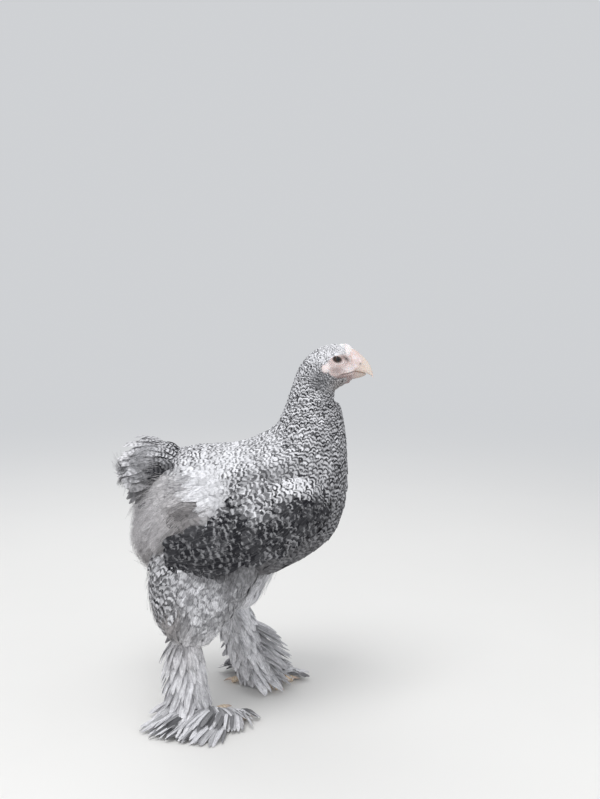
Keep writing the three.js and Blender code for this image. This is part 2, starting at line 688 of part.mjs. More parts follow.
function shankPieces(leg, grow = 0) {
  const wobble = seeded(leg.seed + 1);
  const { hock, ankle } = legFrame(leg);
  const axis = ankle.clone().sub(hock).normalize();
  const forward = V3(1, 0, 0).addScaledVector(axis, -axis.x).normalize();
  const sides = 12;
  const rings = SHANK.map(([share, along, across]) =>
    Array.from({ length: sides }, (_, i) => {
      const angle = (i / sides) * 2 * Math.PI;
      return hock
        .clone()
        .lerp(ankle, share)
        .addScaledVector(forward, Math.cos(angle) * (along + grow))
        .add(V3(0, Math.sin(angle) * (across + grow), 0));
    }),
  );
  const reach = ankle.clone().sub(hock);
  const low = ankle.clone().addScaledVector(reach, 0.06 + grow / reach.length());
  const pieces = [loft(rings, hock.clone().addScaledVector(reach, -0.16), low)];
  BOOT_TIERS.forEach((down, row) => {
    for (let i = 0; i < BOOT_COUNT; i++) {
      const share = (i + 0.25 * (row % 2)) / (BOOT_COUNT - 1);
      const yaw = radians(mix(leg.boot[0], leg.boot[1], share) + wobble() * 4);
      const out = V3(Math.cos(yaw), leg.side * Math.sin(yaw), 0);
      const root = hock.clone().lerp(ankle, down - 0.04 * (i % 2)).addScaledVector(out, 5);
      const length = leg.bootLength * mix(0.8, 1, row / 2) + wobble() * 3;
      const fall = Math.min(leg.bootDrop * length, root.z - 7);
      const end = root.clone().addScaledVector(out, Math.sqrt(Math.max(length ** 2 - fall ** 2, 100)));
      end.z -= fall;
      const bend = root.clone().lerp(end, 0.45).addScaledVector(out, 8);
      bend.z += 7;
      const across = V3(-out.y, out.x, 0);
      pieces.push(plume(root, bend, end, across, BOOT_WIDTH, { thick: 1, grow }));
    }
  });
  return pieces;
}

function toeLine(leg, { turn, length }) {
  const { ankle } = legFrame(leg);
  const yaw = radians(leg.side * (turn + leg.yaw));
  const way = V3(Math.cos(yaw), Math.sin(yaw), 0);
  const knuckle = ankle.clone().setZ(TOE_SOLE + 3.5).addScaledVector(way, 9);
  const end = ankle.clone().setZ(TOE_SOLE).addScaledVector(way, length);
  return { way, start: ankle.clone().setZ(11), knuckle, end };
}

function toePiece(leg, toe, grow = 0) {
  const { way, start, knuckle, end } = toeLine(leg, toe);
  const across = V3(-way.y, way.x, 0);
  const middle = (share, lift) => knuckle.clone().lerp(end, share).setZ(TOE_SOLE + lift);
  const stops = [start, knuckle, middle(0.35, 0.6), middle(0.7, 0.2), end.clone().addScaledVector(way, -2)];
  const swell = [1, 1.05, 0.92, 1.02, 0.9];
  const sides = 8;
  const rings = stops.map((centre, k) => {
    const r = mix(toe.root, toe.tip, k / (stops.length - 1)) * swell[k] + grow;
    return Array.from({ length: sides }, (_, i) => {
      const angle = ((i + 0.5) / sides) * 2 * Math.PI;
      return centre.clone().addScaledVector(across, Math.cos(angle) * r).add(V3(0, 0, Math.sin(angle) * r));
    });
  });
  const back = start.clone().addScaledVector(way, -3).add(V3(0, 0, 1));
  return loft(rings, back, end.clone().addScaledVector(way, grow));
}

// The part of a toe past its joint with the foot, or the part before it.
function toeHalf(leg, toe, beyond, grow = 0) {
  const { way } = toeLine(leg, toe);
  const { ankle } = legFrame(leg);
  const offset = way.dot(ankle) + TOE_JOINT;
  const piece = solidOf(toePiece(leg, toe, grow));
  if (beyond) return piece.trimByPlane(way.toArray(), offset + GAP / 2 - grow);
  return piece.trimByPlane(way.clone().negate().toArray(), -offset + GAP / 2);
}

// Long feathers of the middle and outer toes, spread low over the floor.
function footFan(leg) {
  const wobble = seeded(leg.seed + 2);
  const { ankle } = legFrame(leg);
  const outer = toeLine(leg, TOES[2]);
  const middle = toeLine(leg, TOES[1]);
  const pieces = [];
  const feather = (root, yaw, length, rise, width, endHeight) => {
    const out = V3(Math.cos(yaw), leg.side * Math.sin(yaw), 0);
    const end = root.clone().addScaledVector(out, length).setZ(endHeight);
    const bend = root.clone().addScaledVector(out, length * 0.5).setZ(root.z + rise);
    const across = V3(-out.y, out.x, leg.side * FOOT_TILT);
    pieces.push(plume(root, bend, end, across, width, { thick: 1 }));
  };
  const count = 5;
  for (let i = 0; i < count; i++) {
    const s = i / (count - 1);
    const root = ankle.clone().lerp(outer.end, s * 0.82).setZ(mix(13, 6.5, s));
    const yaw = radians(mix(leg.fan[0], leg.fan[1], s) + wobble() * 3);
    feather(root, yaw, leg.fanLength * (1 - 0.22 * s) + wobble() * 4, mix(12, 6, s), 28, mix(12, 5.5, s));
  }
  for (let i = 0; i < 3; i++) {
    const s = i / 2;
    const root = ankle.clone().lerp(middle.end, 0.16 + s * 0.44).setZ(mix(17, 9.5, s));
    const yaw = radians(mix(84, 26, s) + wobble() * 4);
    feather(root, yaw, mix(42, 32, s), mix(13, 7, s), 20, mix(12, 7, s));
  }
  return pieces;
}

function clawSolid(leg, toe, grow = 0) {
  const { way, end } = toeLine(leg, toe);
  const across = V3(-way.y, way.x, 0);
  const start = end.clone().addScaledVector(way, -CLAW.sunk);
  const rings = [0, 0.3, 0.6, 0.85].map((s) => {
    const r = CLAW.radius * (1 - 0.75 * s ** 1.6) + grow;
    const centre = start.clone().addScaledVector(way, CLAW.length * s);
    centre.z += 0.8 - CLAW.hook * s * s;
    return Array.from({ length: 8 }, (_, i) => {
      const angle = (i / 8) * 2 * Math.PI;
      return centre.clone().addScaledVector(across, Math.cos(angle) * r).add(V3(0, 0, Math.sin(angle) * r));
    });
  });
  const tip = start.clone().addScaledVector(way, CLAW.length + grow);
  tip.z -= CLAW.hook;
  return solidOf(loft(rings, start.clone().addScaledVector(way, -0.5 - grow).add(V3(0, 0, 0.8)), tip));
}

function footSolid(leg, above) {
  const roots = TOES.map((toe) => (toe.bare ? toeHalf(leg, toe, false) : solidOf(toePiece(leg, toe))));
  let whole = wasm.Manifold.union([...roots, ...footFan(leg).map(solidOf)]).trimByPlane([0, 0, 1], 0);
  whole = whole.subtract(above);
  for (const toe of TOES) {
    whole = whole.subtract(clawSolid(leg, toe, GAP));
    if (toe.bare) whole = whole.subtract(toeHalf(leg, toe, true, GAP));
  }
  return whole;
}

const bareToe = (leg, toe) =>
  toeHalf(leg, toe, true).trimByPlane([0, 0, 1], 0).subtract(clawSolid(leg, toe, GAP));

// Assembly

const bird = new THREE.Group();
const trunk = trunkSolid(0);
const tail = tailSolid();
bird.add(meshOf("head", headSolid(), skin));
bird.add(meshOf("bill_upper", upperBill(), horn));
bird.add(meshOf("bill_lower", solidOf(billHalf(BILL_LOWER, BILL_LOWER_TIP)), horn));
bird.add(meshOf("eye_right", eyeSolid(RIGHT), eyeball));
bird.add(meshOf("eye_left", eyeSolid(LEFT), eyeball));
bird.add(meshOf("neck", cut(cut(trunk, NECK_CUT, true), HEAD_CUT, false), plumage));
bird.add(meshOf("torso", cut(cut(trunk, NECK_CUT, false), RUMP_CUT, true), plumage));
bird.add(meshOf("tail", tail, plumage));
bird.add(meshOf("wing_right", wingSolid(RIGHT), plumage));
bird.add(meshOf("wing_left", wingSolid(LEFT), plumage));

// The rump's tufts and the thighs give way to the wings that lie over them.
const beds = { right: wingBed(RIGHT), left: wingBed(LEFT) };
let rump = rumpSolid().subtract(tailBed()).subtract(beds.right).subtract(beds.left);
for (const [name, leg] of Object.entries(LEGS)) {
  const above = trunkGrown.add(beds[name]);
  const thighBed = solidOf(thighCore(leg, THIGH_BED));
  const shankGrown = fuse(shankPieces(leg, GAP));
  rump = rump.subtract(thighBed).subtract(fuse(thighPieces(leg, GAP)));
  bird.add(meshOf("thigh_" + name, fuse(thighPieces(leg)).subtract(above), plumage));
  bird.add(meshOf("shank_" + name, fuse(shankPieces(leg)).subtract(thighBed).subtract(above), fluff));
  bird.add(meshOf("foot_" + name, footSolid(leg, shankGrown), scale));
  for (const toe of TOES) {
    if (toe.bare) bird.add(meshOf("toe_" + toe.name + "_" + name, bareToe(leg, toe), scale));
    bird.add(meshOf("claw_" + toe.name + "_" + name, clawSolid(leg, toe), horn));
  }
}
bird.add(meshOf("rump", rump, fluff));

// The origin lies on the floor, under the middle of the bird's box.
const box = new THREE.Box3().setFromObject(bird);
const middle = box.getCenter(V3(0, 0, 0));
bird.children.forEach((mesh) => mesh.geometry.translate(-middle.x, -middle.y, -box.min.z));

export default bird;
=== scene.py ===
# A young barred brahma hen, life size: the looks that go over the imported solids.
# Places in the tables are millimetres in the bird's own drawing: +X is the way it faces, +Y its left
# side, +Z up, and the drawing is moved onto the frame by the middle of its eyes.
import math

import bpy
import numpy as np
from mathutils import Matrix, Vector


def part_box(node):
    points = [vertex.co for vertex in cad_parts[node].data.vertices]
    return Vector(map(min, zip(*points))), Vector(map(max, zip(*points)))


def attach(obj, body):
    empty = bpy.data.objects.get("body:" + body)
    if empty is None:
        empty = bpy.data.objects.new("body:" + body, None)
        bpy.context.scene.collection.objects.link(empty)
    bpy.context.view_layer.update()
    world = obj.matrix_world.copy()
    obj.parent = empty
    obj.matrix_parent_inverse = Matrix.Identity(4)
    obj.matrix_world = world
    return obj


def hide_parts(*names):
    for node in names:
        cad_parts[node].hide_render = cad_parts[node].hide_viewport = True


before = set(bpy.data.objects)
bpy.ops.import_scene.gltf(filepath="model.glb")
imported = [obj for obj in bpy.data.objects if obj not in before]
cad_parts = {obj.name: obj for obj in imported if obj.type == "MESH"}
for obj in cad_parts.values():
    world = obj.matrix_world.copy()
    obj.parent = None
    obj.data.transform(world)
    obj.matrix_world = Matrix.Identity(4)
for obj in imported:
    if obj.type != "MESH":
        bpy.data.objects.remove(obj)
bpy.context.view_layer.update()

MM = 0.001
FULL_TURN = 2 * math.pi
RIGHT = -1
LEFT = 1

# Body stations, from the rump to the root of the bill: dorsal x, z, ventral x, z, half width,
# level of the widest point from dorsal (0) to ventral (1).
BODY = [
    [-119, 288, -131, 256, 14, 0.5],
    [-112, 302, -132, 244, 30, 0.5],
    [-100, 318, -131, 210, 52, 0.52],
    [-80, 328, -112, 186, 68, 0.54],
    [-50, 332, -66, 178, 82, 0.52],
    [-18, 333, -18, 175, 89, 0.48],
    [2, 337, 20, 171, 90, 0.46],
    [15, 342, 52, 182, 88, 0.45],
    [25, 347, 82, 199, 84, 0.45],
    [32, 352, 106, 221, 79, 0.46],
    [37, 357, 119, 251, 72, 0.48],
    [41, 363, 124, 286, 63, 0.5],
    [44, 370, 123.5, 318, 53, 0.5],
    [47, 377, 122, 344, 43, 0.5],
    [50, 385, 119, 365, 36, 0.5],
    [53, 394, 114, 381, 30.5, 0.5],
    [55, 398, 107, 386, 27, 0.5],
    [59, 410, 107, 397, 25, 0.5],
    [63, 421, 109, 401.5, 23.5, 0.5],
    [69, 432.5, 112, 404, 22.5, 0.5],
    [78, 443, 116, 406, 21.8, 0.52],
    [90, 451, 120, 408, 20.6, 0.55],
    [102, 455, 124, 410, 19, 0.58],
    [113, 455.3, 127.5, 412, 16.6, 0.6],
    [123, 453.5, 130.5, 414, 13.6, 0.6],
    [131, 449, 132, 416.5, 9.8, 0.6],
]
NAPE = 17  # the station where the head begins
BODY_END = len(BODY) - 1
# Upper and lower bill: x, top z, bottom z, half width.
BILL_UPPER = [
    [121, 451, 426, 8.2],
    [131, 450, 423.9, 8.6],
    [138, 445, 422.6, 7.2],
    [145, 438.6, 421.2, 5.4],
    [151, 430, 418.8, 3.5],
    [154, 422, 416, 1.6],
    [154.8, 417, 415, 0.3],
]
BILL_LOWER = [
    [119, 424.2, 413, 7.6],
    [128, 424.5, 413.5, 7.2],
    [135, 423.8, 414.8, 5.6],
    [141, 422.4, 416.4, 3.8],
    [144.6, 421, 418, 2.1],
    [146, 420.2, 419.4, 0.4],
]
EYE = {"x": 110.5, "y": 13, "z": 440, "radius": 6.1}
EAR = {"x": 97, "z": 430, "long": 5.2, "high": 6, "proud": 1.2}
WATTLE = {"x": 121, "y": 5.6, "z": 411.4, "long": 5.2, "thick": 1.3, "high": 2.6}
# The eye's opening: half length and half height, its upper and lower share, and how far it slants.
LIDS = {"opening": (4.9, 3.6), "upper": 1.02, "lower": 0.95, "slant": 0.12, "rim": 0.5}
UNDER_EYE = (2.1, 2.65)  # the folds below the eye, in widths of its opening
NOSTRIL = {"x": 137.5, "z": 433}
MOUTH_BACK = (114.5, 421)
MOUTH_FRONT = (131, 424)
COMB = {"from": 112, "to": 134, "row": 3.2, "height": 3.2}

# The wing lies on a side shell of the body. Side-view places are x, z; a height stands off the shell.
SHELL = {"y": 88, "x": 5, "z": 256, "front": 0.0024, "rear": 0.0011, "above": 0.0058, "below": 0.0022}
WING_CORE = [
    [100, 290, 5, 1],
    [95, 288, 18, 5],
    [82, 283, 33, 9],
    [58, 274, 40, 11],
    [28, 262, 39, 9.5],
    [-2, 248, 33, 7],
    [-32, 234, 25, 5],
    [-58, 222, 16, 3.5],
    [-66, 218, 4, 1],
]
WING_LEAN = 24.3

TAIL_CORE = [
    [-76, 306, 20, 14],
    [-80, 306, 28, 20],
    [-100, 307, 36, 25],
    [-118, 304, 38, 26],
    [-132, 299, 31, 19],
    [-139, 297, 8, 5],
]
TAIL_ROOT = (-92, 308)

# Legs. Joint places are x, y (outward from the middle), z. Yaws run from 0, forward, to 90, outward.
# puff is how far the shank's feathers stand off at their tips. boot is the range of yaws of the rows of
# feathers down the shank, with the share of their length that they fall, their length, how many are in
# a row and their width. forward is the number of loose feathers in front of the shank. fan is the range
# of yaws of the toes' feathers, with their length.
LEGS = {
    "right": {
        "side": RIGHT,
        "hip": [-26, 44, 226],
        "hock": [-76, 58, 112],
        "ankle": [-56, 57, 15],
        "yaw": -6,
        "puff": 3.5,
        "boot": [104, 200],
        "boot_drop": 0.8,
        "boot_length": 64,
        "boot_columns": 9,
        "forward": 0,
        "boot_width": 10,
        "fan": [150, 106],
        "fan_length": 82,
    },
    "left": {
        "side": LEFT,
        "hip": [-6, 44, 226],
        "hock": [-26, 58, 112],
        "ankle": [2, 60, 15],
        "yaw": 6,
        "puff": 11,
        "boot": [-58, 128],
        "boot_drop": 0.6,
        "boot_length": 58,
        "boot_columns": 17,
        "forward": 34,
        "boot_width": 14,
        "fan": [132, 60],
        "fan_length": 62,
    },
}
# Thigh: share of the way from hip to hock, bulge outward, radius along the body, radius across.
THIGH = [
    [-0.12, 0, 46, 26],
    [0.12, 0, 58, 31],
    [0.36, 2, 60, 38],
    [0.58, 4, 55, 40],
    [0.78, 4, 45, 35],
    [0.96, 2, 31, 26],
    [1.05, 1, 12, 10],
]
THIGH_BACK = 9
# Shank: share of the way from hock to ankle, radius along the body, radius across.
SHANK = [[-0.1, 15, 14], [0.15, 15, 14], [0.4, 13.5, 12.5], [0.65, 12, 11], [0.88, 11, 10.5], [1.04, 9, 9]]
# Toes: yaw from the middle toe, length, radius at root and tip.
TOES = {
    "inner": [-40, 42, 5.4, 3.9],
    "middle": [0, 54, 5.9, 4.1],
    "outer": [34, 44, 5.4, 3.9],
    "hind": [172, 26, 4.8, 3.6],
}
TOE_SOLE = 3.6
CLAW = {"length": 13.5, "radius": 2.6, "sunk": 2.6, "hook": 2.6}

# The coat by region, each a soft patch of the side view: x, z and reach; then the feathers' spacing,
# length and width; then lightness, strength of the bars, warmth, share of dark in a bar and bar spacing.
# The lightness also holds painted shade and painted light, in the regions marked below.
COAT = [
    [116, 452, 8, 2.0, 4.6, 3, 1, 0.25, 0.1, 0.3, 3],
    [100, 452, 10, 2.1, 5.5, 3.4, 1.1, 0.5, 0.02, 0.38, 3],
    [84, 448, 10, 2.3, 7, 4, 1.04, 0.9, 0, 0.43, 3.2],
    [66, 425, 12, 2.9, 10, 5, 0.84, 1, 0, 0.48, 3.6],
    [88, 412, 9, 2.7, 8, 4.6, 0.5, 0.8, 0, 0.62, 3.4],
    [114, 404, 8, 2.2, 6, 3.6, 0.62, 0.4, 0.6, 0.5, 3],
    [72, 392, 16, 3.7, 13, 6.4, 0.88, 1, 0, 0.5, 4.6],
    [104, 385, 14, 3.6, 12, 6.2, 0.72, 1, 0, 0.52, 4.2],
    [62, 360, 18, 4.5, 18, 8, 0.9, 1, 0, 0.5, 5.4],
    [112, 345, 20, 4.8, 17, 8.8, 0.72, 1, 0, 0.52, 5],
    [85, 318, 24, 5.2, 20, 10, 0.76, 1, 0, 0.5, 5.8],
    # Lower breast and belly: darker downwards, painted shade on the underside.
    [118, 290, 22, 5.6, 21, 11.5, 0.62, 1, 0, 0.54, 5.6],
    [110, 245, 26, 6, 22, 12.5, 0.46, 1, 0, 0.56, 6],
    [70, 195, 30, 7, 26, 15, 0.36, 0.8, 0.05, 0.55, 7],
    [0, 180, 40, 8, 28, 17, 0.3, 0.4, 0.15, 0.55, 8],
    [28, 345, 16, 5.2, 20, 10, 0.96, 0.85, 0, 0.46, 5.6],
    [-15, 335, 24, 5.4, 22, 10.5, 0.97, 0.75, 0, 0.41, 5.6],
    [-55, 330, 20, 4.8, 20, 9, 0.96, 0.9, 0, 0.44, 4.8],
    [-95, 322, 18, 5, 20, 9, 0.75, 1, 0, 0.5, 4.8],
    [-5, 306, 16, 5.4, 26, 11, 0.9, 1, 0, 0.5, 5.4],
    [-48, 295, 26, 6.2, 34, 15, 0.95, 0.25, 0, 0.3, 9],
    [-100, 288, 20, 6.4, 32, 15, 0.8, 0.3, 0.25, 0.4, 9],
    # Flank under the wing: dark, painted shade.
    [30, 250, 40, 8, 24, 14, 0.3, 0.6, 0, 0.6, 7],
    # Band between the saddle's white patch and the wing's top edge: darker and warmer, painted shade.
    [-72, 256, 20, 6.6, 32, 15, 0.5, 0.35, 0.45, 0.42, 9],
    [-116, 240, 26, 6.4, 32, 15, 1.02, 0.2, 0.25, 0.36, 9],
    [-92, 196, 26, 7, 30, 15, 0.74, 0.1, 0.4, 0.4, 8],
]
# The same for the wing, the tail, the legs, the rear of the thighs, the toes and the face's bristles.
WING_COAT = [
    # Lightest on top at the shoulder, darkest below it, along the lower edge and at the rear: partly the
    # wing's own darker barring, partly painted light from above and painted shade on its lower part.
    [58, 308, 20, 5.2, 20, 11, 1.06, 1, 0, 0.4, 6],
    [94, 292, 12, 5, 16, 9.5, 0.74, 0.95, 0, 0.55, 5],
    [84, 264, 18, 5.6, 20, 12, 0.34, 1, 0, 0.74, 7],
    [55, 262, 22, 6.2, 25, 14, 0.46, 1, 0, 0.73, 8],
    [18, 292, 22, 6.2, 26, 14, 0.84, 0.9, 0, 0.62, 7.5],
    [-20, 268, 18, 6.8, 30, 16, 0.62, 1, 0, 0.7, 8],
    [25, 228, 20, 7, 28, 14, 0.4, 1, 0, 0.74, 8],
    [-30, 236, 22, 7.4, 34, 17, 0.38, 1, 0, 0.73, 9],
    [-78, 244, 16, 7.6, 36, 17, 0.36, 1, 0, 0.72, 9],
    [-62, 204, 20, 7.6, 36, 17, 0.32, 1, 0, 0.74, 9],
]
TAIL_COAT = [
    [-88, 327, 13, 5.6, 20, 9, 0.84, 1, 0, 0.58, 5],
    [-118, 329, 13, 6, 26, 11, 0.86, 0.6, 0.04, 0.45, 7],
    [-150, 320, 18, 7, 30, 13, 0.96, 0.4, 0.1, 0.36, 8],
    [-106, 304, 13, 7, 28, 12, 0.2, 0.9, 0, 0.62, 6],
    [-135, 308, 14, 7, 30, 13, 0.82, 0.5, 0.05, 0.42, 8],
    # Underside of the tail: darker, painted shade.
    [-120, 284, 16, 8, 34, 16, 0.44, 0.4, 0.2, 0.4, 8],
    [-150, 285, 16, 8, 34, 16, 0.52, 0.4, 0.1, 0.4, 8],
]
LEG_COAT = [
    # Top of the thigh under the wing: dark, painted shade.
    [-30, 200, 20, 7.0, 28, 15, 0.36, 0.6, 0.05, 0.5, 8],
    [-50, 165, 26, 7.0, 30, 14, 0.84, 0.85, 0.03, 0.4, 13],
    [-98, 165, 18, 6.6, 30, 12, 0.84, 1.1, 0.05, 0.5, 7],
    [-95, 128, 14, 6.6, 32, 12, 0.6, 0.4, 0.5, 0.4, 8],
    [-45, 134, 15, 6.6, 32, 14, 0.88, 0.85, 0.03, 0.46, 13],
    [-12, 160, 15, 6.8, 28, 14, 0.74, 0.9, 0.03, 0.5, 12],
    [-70, 95, 14, 4.8, 32, 8, 0.86, 0.3, 0.15, 0.36, 9],
    [-66, 50, 20, 4.8, 36, 8, 1, 0.14, 0.06, 0.3, 12],
    [20, 180, 16, 8, 28, 15, 0.55, 0.5, 0.05, 0.45, 8],
    [14, 120, 22, 5.6, 28, 13, 1.08, 0.12, 0, 0.3, 12],
    [4, 60, 22, 5.2, 32, 11, 1, 0.2, 0.05, 0.36, 12],
]
REAR_COAT = [
    [-98, 165, 24, 8, 27, 12.5, 0.76, 0.95, 0.05, 0.52, 7.5],
    [-58, 165, 24, 8, 27, 12.5, 0.9, 0.4, 0.03, 0.42, 9],
]
FOOT_COAT = [
    [-60, 10, 40, 6, 30, 10, 1.1, 0.12, 0.02, 0.3, 20],
    [30, 10, 40, 6, 30, 10, 0.95, 0.2, 0.06, 0.3, 16],
]
FACE_COAT = [
    # Lores in front of the eye: near-black bristles, painted shade.
    [121, 440, 5, 1.6, 2.6, 9, 0.12, 0, 0, 0.4, 3],
    [108, 430, 16, 1.6, 2.2, 9, 0.88, 0, 0.1, 0.4, 3],
]
SPACING, LENGTH, WIDTH, LIGHT_AND_SHADE, BARS, WARM, DARK_SHARE, BAR_STEP = range(3, 11)

# The edge of the folded wing in the side view, and its long feathers, which stick out from under the rest:
# number, root line x, z from the lower to the upper feather, droop in degrees, length at the two ends,
# width, height off the shell at root, middle and tip.
WING_EDGE = [
    [-90, 190],
    [-93, 212],
    [-88, 233],
    [-62, 246],
    [-40, 258],
    [-22, 270],
    [-6, 292],
    [22, 318],
    [62, 324],
    [90, 306],
    [98, 278],
    [82, 247],
    [42, 224],
    [0, 206],
    [-45, 194],
]
LONG_FEATHERS = [10, (42, 226), (8, 252), (13.5, 11), (134, 100), 16, (2, 5, 7)]
WING_ROLL = 0.13  # how a wing feather's lower edge lifts over its neighbour, in radians

# Tail tiers, topmost last: number, half spread in degrees, length, rise, curl back down, drop, width and
# the height of their roots.
TAIL_TIERS = [
    [13, 36, 44, 0, 0, 44, 18, -16],
    [15, 46, 54, 0, 0, 27, 18, -6],
    [17, 42, 65, 8, 10, 2, 17, -2],
    [17, 42, 63, 20, 12, 0, 17, 4],
    [15, 38, 54, 30, 14, 0, 16, 9],
    [13, 32, 42, 34, 15, 0, 15, 13],
    [11, 26, 30, 28, 12, 0, 13, 17],
]

# How deep the skin lies under the coat, on the body and on the head.
COAT_DEPTH = 5.5
HEAD_DEPTH = 1.2
PATCH = 0.003  # a feather's patch on the OFBake map
PIECE_LIMIT = 200000  # triangles in one piece of the coat
FLOOR_GAP = 0.05  # how far feet and claws stay off the floor
FEATHER_GAP = 0.4  # how far feathers stay off the floor

# Trial places for a coat, and how many of them are used for each feather that there may be room for.
TRIALS = 150000
CROWDING = 14

# Feather forms: shares of the length, and the width at each. A strand is a thin feather of loose down.
VANE_SHARE = np.array([0, 0.2, 0.42, 0.64, 0.82, 0.94, 1])
CONTOUR = np.array([0.3, 0.66, 0.92, 1, 0.86, 0.56, 0.2])
SOFT = np.array([0.4, 0.86, 1, 0.92, 0.68, 0.42, 0.12])
QUILL = np.array([0.45, 0.8, 0.96, 1, 0.92, 0.62, 0.22])
STRAND_SHARE = np.array([0, 0.35, 0.7, 1])
STRAND = np.array([1, 0.95, 0.7, 0.1])

# How feathers are laid, where a coat's own style says nothing else: bow off the surface, looseness of the
# tips, sway to the side, share of the table's length and width, form, thickness, cup of the section,
# twist and raggedness. Each style also gives the height of the root and the tip.
STYLE = {
    "bow": 0.5,
    "loose": 0.25,
    "sway": 0.06,
    "longer": 1,
    "wider": 1,
    "shape": CONTOUR,
    "share": VANE_SHARE,
    "thick": 0.4,
    "cup": 0.22,
    "twist": 0.12,
    "ragged": 0.06,
}
HEAD_STYLE = {"lift": (-0.7, 1.0), "bow": 0.3, "loose": 0.15, "thick": 0.25}
NECK_STYLE = {"lift": (-3.6, 0.2), "bow": 0.9, "loose": 0.35, "twist": 0.16}
BODY_STYLE = {"lift": (-4.2, 0.2), "bow": 1.2, "loose": 0.4}
SOFT_STYLE = {
    "lift": (-5, 0.6),
    "bow": 2.4,
    "loose": 0.9,
    "shape": SOFT,
    "twist": 0.25,
    "sway": 0.12,
    "ragged": 0.16,
}
WING_FRONT_STYLE = {"lift": (-0.6, 2.4), "bow": 0.9, "loose": 0.4, "longer": 0.8, "wider": 0.9}
COVERT_STYLE = {"lift": (-1.5, 2.2), "bow": 1.3, "loose": 0.5, "twist": 0.1, "cup": 0.24}
TAIL_STYLE = {"lift": (-1, 3), "bow": 2, "loose": 1, "shape": SOFT, "twist": 0.2}
THIGH_STYLE = {
    "lift": (-5, 0.6),
    "bow": 2,
    "loose": 0.9,
    "shape": SOFT,
    "twist": 0.2,
    "sway": 0.1,
    "ragged": 0.14,
}
KNEE_STYLE = THIGH_STYLE | {"lift": (-2, 3), "loose": 2, "sway": 0.16, "longer": 1.2, "wider": 0.8}
REAR_STYLE = THIGH_STYLE | {"lift": (-4, 2.4), "loose": 1.3}
SHANK_STYLE = {"bow": 1.5, "loose": 1.6, "shape": SOFT, "twist": 0.3, "sway": 0.12, "ragged": 0.14}
STRAND_STYLE = {
    "lift": (-2, 3.2),
    "bow": 2.5,
    "loose": 1.8,
    "sway": 0.24,
    "twist": 1.2,
    "thick": 0.26,
    "share": STRAND_SHARE,
    "shape": STRAND,
    "cup": 0.0,
    "wider": 0.03,
    "longer": 0.9,
}
BRISTLE_STYLE = {"lift": (-0.5, 0.35), "bow": 0.2, "loose": 0.15, "wider": 0.045, "thick": 0.14}

# Studio
BACKGROUND = (0.95, 0.97, 1, 1)
BACKGROUND_GLOW = 0.66
FLOOR_REACH = 12.0
FLOOR_LEVEL = -0.0004
# Lamps: place, size and power.
LAMPS = {
    "key": [(-0.35, -0.9, 2.4), 1.2, 25],
    "fill": [(1.8, -1.2, 1.2), 1.6, 6],
    "front": [(-0.5, -2.4, 0.9), 1.8, 9],
    "back": [(-0.6, 1.6, 2.0), 1.6, 9],
}
LAMP_AIM = (0, 0, 0.25)
CAMERA = {"place": (0.066, -1.44, 0.6294), "tilt": 80.5, "sensor": 36, "lens": 54.07}


# Numbers


def unit(v):
    return v / np.maximum(np.linalg.norm(v, axis=-1, keepdims=True), 1e-9)


def dot(a, b):
    return (a * b).sum(-1, keepdims=True)


def mix(a, b, t):
    return a + (b - a) * t


def rise(x, low, high):
    """From 0 at low to 1 at high, smooth at both ends."""
    t = np.clip((x - low) / (high - low), 0, 1)
    return t * t * (3 - 2 * t)


def bell(distance):
    return np.exp(-(distance**2))


def spline(table, t):
    """Rows of a table at the fractional rows t, on a smooth curve through them."""
    rows = np.asarray(table, float)
    last = len(rows) - 1
    i = np.clip(np.floor(t).astype(int), 0, last - 1)
    f = (t - i)[..., None]
    a, b, c, d = (rows[np.clip(i + k, 0, last)] for k in (-1, 0, 1, 2))
    return b + f * 0.5 * (c - a + f * (2 * a - 5 * b + 4 * c - d + f * (3 * (b - c) + d - a)))


def row_of(table, x):
    """The fractional row where a table's first column reaches x."""
    column = np.array([row[0] for row in table], float)
    rows = np.arange(len(column))
    if column[0] > column[-1]:
        return np.interp(x, column[::-1], rows[::-1])
    return np.interp(x, column, rows)


def vec(x, y, z):
    return np.stack(np.broadcast_arrays(x, y, z), -1).astype(float)


# Surfaces


class Surface:
    """A smooth form. A place on it is a pair of numbers, and point gives where places lie."""

    def __init__(self, point, step, turn, ends, chart):
        self.point = point
        self.step = step
        self.turn = turn
        self.ends = ends
        self.chart = chart

    def frame(self, place):
        """The surface's two directions at places, and its normal."""
        a = np.array([self.step[0], 0.0])
        b = np.array([0.0, self.step[1]])
        first = (self.point(place + a) - self.point(place - a)) / (2 * self.step[0])
        second = (self.point(place + b) - self.point(place - b)) / (2 * self.step[1])
        return first, second, unit(np.cross(first, second)) * self.turn

    def bake_place(self, place):
        """Where a place lies on the OFBake map. A chart: low corner, size, range of the first number."""
        (u, v), (wide, high), (low, top) = self.chart
        first = (place[..., 0] - low) / (top - low)
        second = place[..., 1] / FULL_TURN % 1.0
        return np.stack([u + wide * np.clip(first, 0, 1), v + high * np.clip(second, 0, 1)], -1)


def body_point(place, height=0.0):
    """Body, neck and head: the first number is the station, the second runs round it from the back."""
    row = spline(BODY, np.clip(place[..., 0], 0, BODY_END))
    dx, dz, vx, vz, half, level = np.moveaxis(row, -1, 0)
    angle = place[..., 1]
    down = ((1 - np.cos(angle)) / 2) ** (np.log(level) / math.log(0.5))
    way = unit(vec(vx - dx, 0, vz - dz))
    across = np.sin(angle) * (half + height)
    off = np.expand_dims(height * (2 * down - 1), -1)
    return vec(mix(dx, vx, down), across, mix(dz, vz, down)) + way * off


def joint(leg, name):
    x, y, z = leg[name]
    return np.array([x, leg["side"] * y, z], float)


